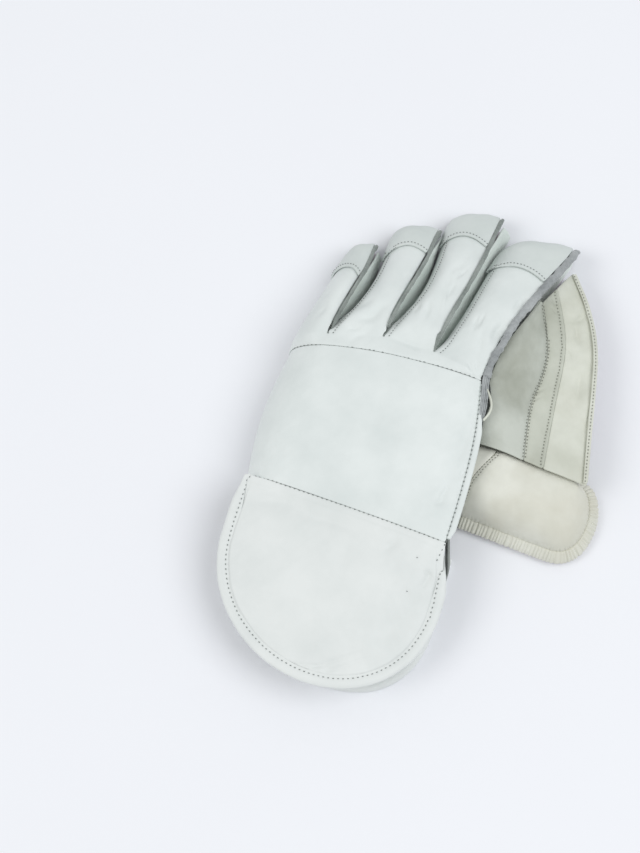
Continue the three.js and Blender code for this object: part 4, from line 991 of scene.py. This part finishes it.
def bar(name, path, width, height, material, sides=10):
    """A bar along a path of points, width and height in millimetres, thinned at its ends."""
    path = spline(path, SEAM_STEP)
    corners = []
    for k, at in enumerate(path):
        ahead = (path[min(k + 1, len(path) - 1)] - path[max(k - 1, 0)]).normalized()
        across = ahead.cross(Vector((0, 0, 1))).normalized()
        up = across.cross(ahead)
        thin = max(0.15, min(1.0, k / 4, (len(path) - 1 - k) / 14)) ** 0.5
        for j in range(sides):
            turn = 2 * math.pi * j / sides
            c, s = (math.copysign(abs(v) ** 0.6, v) for v in (math.cos(turn), math.sin(turn)))
            corners.append(at + (across * c * width + up * s * height) * (0.5 * MM * thin))
    extras[name] = tube(name, corners, sides, material)
    return extras[name]


extras = {}
# Each row: how far out from the lip, height at the top, width
LAYERS = ((-1.2, 44.2, 1.6), (0.0, 44.4, 1.3), (1.15, 44.0, 1.1), (2.2, 43.4, 1.0))
for number, (out, top, width) in enumerate(LAYERS, 1):
    path = [place(x + out, y, z - 1.4) for x, y, z in
            ((51.6, 111.5, top + 0.3), (52.6, 105.5, top), (54.6, 98, top - 0.3), (56.2, 90, top - 0.8),
             (57.4 - 0.3 * out, 84, top - 1.2), (58.2 - 0.7 * out, 79, top - 1.8))]
    layer = bar("cut_layer_" + str(number), path, width, 3.0, index_edge)
    rippled(layer, (0.22, 3.0, 20 + number))

# %% [markdown]
# In each valley the welt starts flat: its two layers come out of the seam and rise along the finger.

# %% Start of the welts
for name in FINGERS[:3]:
    start = valley_lines[name]
    path = [p + Vector((0.5, 0, -0.5)) * MM for p in start]
    bar("welt_start_" + name, path[::-1], 2.6, 2.8, raw_edge)

# %% [markdown]
# The loop beside the layers stands off them, so a slit shows. The shadow in the slit is painted: a bar of
# dark suede lies in it, a little lower, as painted shade.

# %% Slit beside the loop
SLIT = ((53.6, 108, 41.2), (56.5, 102, 41.0), (58.8, 95, 40.4), (59.3, 89, 39.9), (58.6, 82, 39.4))
bar("slit_painted_shade", [place(*at) for at in SLIT], 2.6, 1.2, painted_shade_suede)
LOOP_SWELL, LOOP_SHIFT = (0.15, 0.15, 0.5), (-1.5, 0, -0.6)
loop_points = points_of(loop_piece) + normals_of(loop_piece) * np.array(LOOP_SWELL) * MM
put(loop_piece, loop_points + np.array(LOOP_SHIFT) * MM)

# %% [markdown]
# ## Cuff
# The cuff is two padded flaps, one on the back and one on the palm. Each is bound with a rolled strip of
# leather. The binding is pressed flat by its stitches, so its height over the flap is cut down, and it
# thins out where it ends.

# %% Flaps
cuff_rim = skin_rim("cuff_back")
palm_rim = skin_rim("cuff_palm", (0, 0, -1))
cuff = dressed("cuff_back", cuff_leather, crease=0.6, rough=0)
heel = dressed("cuff_palm", cuff_leather, crease=0.6, rough=0)
inflate(cuff, cuff_rim, cap=1.2, hold=3.5)
inflate(heel, palm_rim, cap=0.4, hold=3.5)
heel_points = points_of(heel)
heel_points[:, 2] = np.maximum(heel_points[:, 2], 0)
put(heel, heel_points)
finer(cuff)
shift(cuff, wrinkled)


def raised_inside(obj, rim, height, start=3.9, wrist=22.0):
    """Lifts the top of a flap inside its binding, so that the two lie level."""
    distance = near(points_of(obj), whole(rim), start + 2)
    up = normals_of(obj)[:, 2] > 0.3

    def lift(points):
        inside = np.clip((distance - start) / 1.0, 0, 1) * np.clip(-points[:, 1] / wrist, 0, 1)
        return height * inside * up

    shift(obj, lift)


raised_inside(cuff, cuff_rim, 0.75)


# %% Bindings
def pressed_flat(obj, rim, share=0.4):
    """Flattens a binding over its flap and thins it towards its ends at the wrist."""
    co = points_of(obj)
    line = array_of(whole(rim))
    tree = points_tree(line)
    foot = np.array([line[tree.find(p)[1]] for p in co])
    away = co - foot
    over = away[:, 2] > 0
    away[over, 2] *= share
    inward = ((np.array(place(0, -45)) - foot)[:, :2] * away[:, :2]).sum(axis=1) > 0
    reach = np.linalg.norm(away[:, :2], axis=1) / MM
    away[:, :2] *= (1 + 0.5 * inward * over * np.clip((reach - 1.2) / 1.4, 0, 1))[:, None]
    start = np.where(plan(co)[:, 0] > 0, 11, 1)
    end = np.clip((-plan(co)[:, 1] - start) / 22, 0, 1)
    thin = 0.35 + 0.65 * (end * end * (3 - 2 * end))
    put(obj, foot + away * thin[:, None])


binding = dressed("cuff_back_binding", cuff_leather, crease=0.1, rough=0)
pressed_flat(binding, cuff_rim)
under_binding = dressed("cuff_palm_binding", cuff_leather, crease=0.1, rough=0)
for strip_piece in (binding, under_binding):
    rippled(strip_piece, (0.12, 12, 11))
dressed("cuff_palm_band", trim_leather, rough=0)


def under_layer(obj, out=2.6, back=3.6):
    """Moves the lower flap out on the thumb's side, where it shows, and in on the other."""
    co = points_of(obj)
    points = plan(co)
    x, y = points[:, 0], points[:, 1] + 20
    turn, far = np.degrees(np.arctan2(y, x)), np.clip(np.hypot(x, y) / 75, 0, 1.2) ** 2
    share = out * np.exp(-((turn + 40) / 26) ** 2) - back * np.exp(-((turn + 105) / 32) ** 2)
    co[:, 0] += share * far * np.cos(np.radians(turn)) * MM
    co[:, 1] += share * far * np.sin(np.radians(turn)) * MM
    put(obj, co)


for lower in (heel, under_binding):
    under_layer(lower)

# %% [markdown]
# Dark leather closes the side of the wrist below the white seam. It shows as a thin grey line beside the
# cuff.

# %% Dark side of the wrist
TAIL = ((61.9, 8, 24), (64.2, 1, 24), (66.6, -6, 23.5), (69.0, -13, 23), (70.2, -20, 22))
bar("side_tail", [place(*at) for at in TAIL], 2.2, 20, side_leather)

# %% [markdown]
# ## Thumb
# The thumb is a padded stall. Its lower edge is gathered: the leather is drawn together by a thread, so it
# stands in small pleats all round the tip.

# %% Thumb
thumb_rim = skin_rim("thumb_back")
base_rim = skin_rim("thumb_base")
thumb = dressed("thumb_back", thumb_leather, rim=thumb_rim, roll=0.6, roll_width=4, rough=0)
base = dressed("thumb_base", thumb_leather, rim=base_rim, roll=0.4, rough=0)
for obj in (thumb, base):
    finer(obj)
    shift(obj, wrinkled)

# %% [markdown]
# The web lies on the thumb. The thumb's far slope is lifted until it meets the web's lower edge from below,
# so that no gap shows between them.

# %% Thumb lifted to the web
# Each row: x and the rise that closes the gap there
WEB_GAP = ((60, 3.0), (70, 5.0), (80, 5.7), (90, 4.2), (100, 4.7), (110, 5.5), (120, 6.6), (130, 7.4),
           (136, 4.0), (141, 0))
gap_x, gap_rise = np.array(WEB_GAP).T


def under_the_web(points):
    x, y, z = points.T
    climb = np.clip((y - 51) / 18.5, 0, 1) ** 2.2 * np.clip((79 - y) / 6, 0, 1)
    return np.interp(x, gap_x, gap_rise) * climb * np.clip((z - 7) / 11, 0, 1)


for obj in (thumb, base):
    shift(obj, under_the_web)

# %% [markdown]
# The gathered edge is a ribbon round the stall. Its section runs from the wall of the thumb out and down to
# the rubber. Along the way it rises and falls with a pitch of about 2.3 mm, and the wall next to it has the
# same pleats, which fade as they climb. The pitch wanders a little, for a hand-drawn thread never gathers
# evenly.

# %% Pleats along the edge
PLEAT = 2.3
edge_line = seam_line(thumb_rim, (66, 26, 4), (128, 75, 4), 0.4 * MM)
edge_at = array_of(edge_line)
edge_run = np.concatenate([[0], np.cumsum(np.linalg.norm(np.diff(edge_at, axis=0), axis=1))]) / MM
run_points = edge_run[:, None] * np.array([[1.0, 0, 0]])
edge_phase = 2 * np.pi * (edge_run + 1.0 * waves(run_points, 11, 31)) / PLEAT
edge_swell = 0.8 + 0.6 * waves(run_points, 9, 32)


def fold_at(k):
    """Height of the pleats at a corner of the edge, from 1 to -1: broad tops and narrow deep creases."""
    return 1 - 2 * math.exp(-(math.sin(edge_phase[k] / 2) / 0.38) ** 2)


def pleats(obj, low=3.5, high=16.0, depth=0.5):
    """Presses the pleats of the gathered edge into the wall above it."""
    co = points_of(obj)
    normals = normals_of(obj)
    tree = points_tree(edge_line)
    for i in around(co, edge_line, 12):
        height = co[i][2] / MM
        if low < height < high:
            _, k, distance = tree.find((co[i][0], co[i][1], edge_at[0][2]))
            fade = max(0.0, 1 - distance / (7 * MM)) * (1 - (height - low) / (high - low)) ** 0.7
            long = 1 + 0.8 * math.sin(edge_phase[k] * 0.21) ** 6
            co[i] -= normals[i] * depth * MM * fade * min(1.4, long) * (1 - fold_at(k))
    put(obj, co)


pleats(thumb)
print("gathered edge", round(edge_run[-1]), "mm,", round(edge_run[-1] / PLEAT), "pleats")

# %% [markdown]
# The ribbon's section is given by its distance from the wall and its height over the middle of the ribbon.
# Its foot stays flat on the rubber, and its upper side follows the pleats.

# %% Ribbon of the gathered edge
SECTION = ((-1.3, 0.4), (-0.3, 1.3), (0.8, 1.2), (1.8, 0.5), (3.0, -0.4), (4.2, -1.3), (5.3, -2.4),
           (6.2, -3.8), (6.2, -4.8), (5.4, -5.4), (2.4, -5.6), (-0.8, -5.4))
RIBBON_FOOT, RIBBON_MIDDLE = 3.05 * MM, 5.5     # the rubber's top, and the ribbon's middle above it
WALL_HEIGHT = 8.6 * MM                          # where the wall of the thumb is looked for
FOLD_START = 5                                  # folds are lower from this far out
wall = tree_of(thumb)
middle_of_thumb = place(105, 50)
corners = []
for k, at in enumerate(edge_line):
    ahead = edge_line[min(k + 2, len(edge_line) - 1)] - edge_line[max(k - 2, 0)]
    ahead.z = 0
    out = ahead.normalized().cross(Vector((0, 0, 1)))
    if out.dot(at - middle_of_thumb) < 0:
        out = -out
    start = Vector((at.x, at.y, WALL_HEIGHT))
    found, _, _, _ = wall.ray_cast(start + out * 9 * MM, -out)
    foot_at = found if found is not None and (found - at).length < 11 * MM else start
    thin = min(1.0, k / 12, (len(edge_line) - 1 - k) / 30) ** 0.5
    for x, z in SECTION:
        fold = fold_at(k) * (0.4 if x < FOLD_START else 0.28) * (z > -5)
        corner = foot_at + out * (x * MM * (0.4 + 0.6 * thin) + 0.6 * fold * (x > 4) * MM)
        rise = (RIBBON_MIDDLE + z + fold * edge_swell[k]) * MM * (0.5 + 0.5 * thin)
        corner.z = max(RIBBON_FOOT, 3.1 * MM + rise)
        corners.append(corner)
gather = finer(tube("sewn_thumb_gather", corners, len(SECTION), thumb_leather))
pieces["thumb_gather"] = gather
print("gathered edge", len(gather.data.polygons), "faces")

# %% [markdown]
# ## Web
# Three panels of leather lie between the index finger and the thumb, each a little different in tone. The
# inner panel and the strip are darker partly by their own tone and partly by painted shade, for they slope
# away from the light. The outer one ends in a folded hem.

# %% Web
WEB = ("web_inner_panel", "web_strip", "web_outer_panel")
web_rims = {node: skin_rim(node) for node in WEB}
WEB_FINISH = dict(zip(WEB, (inner_leather_painted_shade, strip_leather_painted_shade, web_leather)))
for node in WEB:
    dressed(node, WEB_FINISH[node], crease=0.6, rim=web_rims[node], roll=0.5, roll_width=3.5, rough=0)
    finer(pieces[node])
    shift(pieces[node], wrinkled)
hem = dressed("web_hem", web_leather, crease=0.3)

# %% [markdown]
# ## Palm
# The rubber of the palm, the thumb and the web is a flat moulded sheet.

# %% Palm
for node in ("palm_sheet", "thumb_sheet", "web_sheet"):
    dressed(node, palm_rubber, level=2, crease=0.7, rough=0)
dressed("palm_lining", lining_leather, level=2, rough=0)
dressed("crotch_lace", trim_leather, rough=0)

# %% [markdown]
# The rubber grips with small moulded rings. They stand on a honeycomb grid, all alike, so Geometry Nodes
# put one ring on each point of a bare mesh. The points come from the sheet itself: a grid is cast up at its
# underside, and a point stays where it finds flat rubber all round. The underside is lifted a little, so
# that the rings touch the table.

# %% Rings on the rubber
RINGS = node_tree(
    "ring_grid",
    {"Ring radius": (LENGTH, 0.85 * MM), "Ring thickness": (LENGTH, 0.3 * MM), "Material": (COLOUR, None)},
    {"circle": ("GeometryNodeCurvePrimitiveCircle", {"Resolution": 7}),
     "section": ("GeometryNodeCurvePrimitiveCircle", {"Resolution": 3}),
     "sweep": ("GeometryNodeCurveToMesh", {}),
     "each": ("GeometryNodeInstanceOnPoints", {}), **ENDING},
    [("given", "Ring radius", "circle", "Radius"), ("given", "Ring thickness", "section", "Radius"),
     ("circle", 0, "sweep", "Curve"), ("section", 0, "sweep", "Profile Curve"),
     ("given", "Geometry", "each", "Points"), ("sweep", 0, "each", "Instance"), *ENDING_LINKS])
RING_PITCH = 3.0
ROW_PITCH = RING_PITCH * 0.866          # rows of a honeycomb
RING_LIFT = 0.45
UP = Vector((0, 0, 1))


def ringed(node, clear=1.6):
    """Rings all over the underside of a rubber sheet, where the rubber round them is flat."""
    obj = pieces[node]
    shift(obj, lambda points: RING_LIFT * np.clip((1.2 - points[:, 2]) / 1.0, 0, 1))
    tree = tree_of(obj)
    low, high = (Vector(c) for c in (points_of(obj).min(axis=0), points_of(obj).max(axis=0)))
    spots, line = [], 0
    y = low.y
    while y < high.y:
        x = low.x + (line % 2) * RING_PITCH * MM / 2
        while x < high.x:
            hits = [tree.ray_cast(Vector((x + a * clear * MM, y + b * clear * MM, -5 * MM)), UP)
                    for a, b in ((0, 0), (1, 0), (-1, 0), (0, 1), (0, -1))]
            if all(h[0] is not None and h[0].z < 1.0 * MM for h in hits):
                spots.append((x, y, hits[0][0].z - 0.02 * MM))
            x += RING_PITCH * MM
        y += ROW_PITCH * MM
        line += 1
    name = "rings_" + node
    extras[name] = grown(name, spots, [], RINGS, ring_rubber)
    print(len(spots), "rings")


for node in ("palm_sheet", "thumb_sheet"):
    ringed(node)

# %% [markdown]
# ## Seams
# The panels are drawn together first. Then each row of stitches is laid on the finished surface beside its
# seam, and the leather under it is pressed in a little.

# %% Seams drawn shut
knuckle = seam_line(finger_rim, (-73, 89, 20), (50, 107, 43))
knuckle_seam = sew(back, fingers, knuckle, sink=-0.1)
wrist = seam_line(pad_rim, (-69.5, 0, 20), (61.5, 0, 38))
wrist_seam = sew(back, cuff, wrist, sink=-0.1)
inner, strip, outer = (pieces[node] for node in WEB)
line_one = seam_line(web_rims["web_inner_panel"], (91.5, 69, 32), (70.6, 175.5, 31))
seam_one = sew(inner, strip, line_one, sink=0.25, reach=3)
line_two = seam_line(web_rims["web_outer_panel"], (105, 68, 31), (76.5, 190, 28))
seam_two = sew(strip, outer, line_two, sink=0.1, reach=3)


def folded(obj, line, height=0.7, width=2.2):
    """Raises the folded edge of a panel beside a seam."""
    rise = height * np.clip(1 - (near(points_of(obj), line, 2 * width) / width) ** 2, 0, 1)
    shift(obj, lambda points: rise)


folded(strip, seam_two)
base_line = seam_line(thumb_rim, (64, 30, 20), (74, 75, 12))
base_seam = sew(thumb, base, base_line, sink=0.3, reach=3)
hem_line = seam_line(web_rims["web_outer_panel"], (133.8, 68.2, 26), (83.6, 207, 21))
sew(outer, hem, hem_line, sink=0.1, reach=3)
for seam in (knuckle_seam, wrist_seam, seam_one, seam_two, base_seam):
    print("a seam of", round(length_of(seam) / MM), "mm")

# %% Where the rows of stitches run
skin = {node: tree_of(obj) for node, obj in pieces.items()}
rows = {}


def row(group, node, line, inset, toward, trim):
    """One row of stitches on a node's surface, beside a line without its first and last trim corners."""
    rows.setdefault(group, []).append((node, laid(line[trim:-trim], skin[node], inset, toward)))


def row_below(group, node, points):
    """One row of stitches under plan points."""
    rows.setdefault(group, []).append((node, dropped(points, skin[node])))


row("back", "finger_leather", knuckle_seam, 0.3, (-5, 140, 40), trim=6)
row("back", "cuff_back", wrist_seam, 0.3, (0, -60, 40), trim=6)
row("back", "side_seam", side_seam, 1.0, (90, 50, 40), trim=3)
row("web", "web_inner_panel", seam_one, 1.2, (60, 110, 40), trim=3)
row("web", "web_strip", seam_one, 1.2, (95, 120, 30), trim=3)
row("web", "web_strip", seam_two, 2.9, (60, 120, 30), trim=3)
row_below("web", "web_hem", beside(hem_line, 1.0, (60, 130))[4:-6])
row("thumb", "thumb_back", base_seam, 0.4, (140, 50, 30), trim=3)
row("thumb", "thumb_back", base_seam, 2.6, (140, 50, 30), trim=5)
for name in FINGERS:
    arc = seam_line(cap_rims[name], corner_of(name, LEFT), corner_of(name, RIGHT))
    tip_x, tip_y, _ = WELT_LINES[name][1]
    press(fingers, arc, width=1.0, depth=0.5)
    row("fingers", "tip_cap_" + name, arc, 1.9, (tip_x - 12, tip_y + 10, 10), trim=2)
for name, neighbour in zip(FINGERS[1:], FINGERS):
    valley = WELT_LINES[neighbour][0]
    tip_x, tip_y, _ = WELT_LINES[name][1]
    edge = seam_line(finger_rim, valley, corner_of(name, LEFT))
    row_below("fingers", "finger_leather", beside(edge, 3.4, (tip_x - 8, tip_y - 40))[4:-8])
cuff_line = seam_line(cuff_rim, (-69, -4, 37), (67, -8, 37), long_way=True)
row("cuff", "cuff_back_binding", cuff_line, 2.6, (0, -50, 40), trim=3)
row_below("cuff", "cuff_back", [(62.2, -1.8), (64.6, -6), (65.6, -10.5), (60.9, -12.4)])
# Each pin hole is drawn as one dark stitch: painted shade of the hole.
PINS = ((48.7, -15.6), (49.7, -37.2))   # two pin holes, each a single stitch
for x, y in PINS:
    row_below("pins", "cuff_back", [(x, y), (x + 0.3, y)])
print({group: len(lines) for group, lines in rows.items()}, "rows")

# %% Rows sewn
THREADS = {"web": pale_thread_and_hole_shade, "thumb": pale_thread_and_hole_shade}
FINE = {"Pitch": 2.2 * MM, "Length": 1.2 * MM}
SIZES = {"pins": {"Length": 0.6 * MM}, "web": {"Pitch": 2.3 * MM, "Length": 1.25 * MM}, "thumb": FINE,
         "fingers": FINE}
LYING_ON = Vector((0, 0, 0.08 * MM))
for group, lines in rows.items():
    for node, line in lines:
        press(pieces[node], line, width=1.2, depth=0.2)
    lines = [[p + LYING_ON for p in line] for _, line in lines]
    stitches("stitches_" + group, lines, THREADS.get(group, grey_thread_and_hole_shade), **SIZES.get(group, {}))

# %% [markdown]
# ## Finish
# Every piece stands for its node and rides on the one body of the glove.


for node, obj in pieces.items():
    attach(obj, "root")
    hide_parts(node)
for obj in scene.objects:
    if obj.name.startswith("stitches_") or obj.name in extras:
        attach(obj, "root")
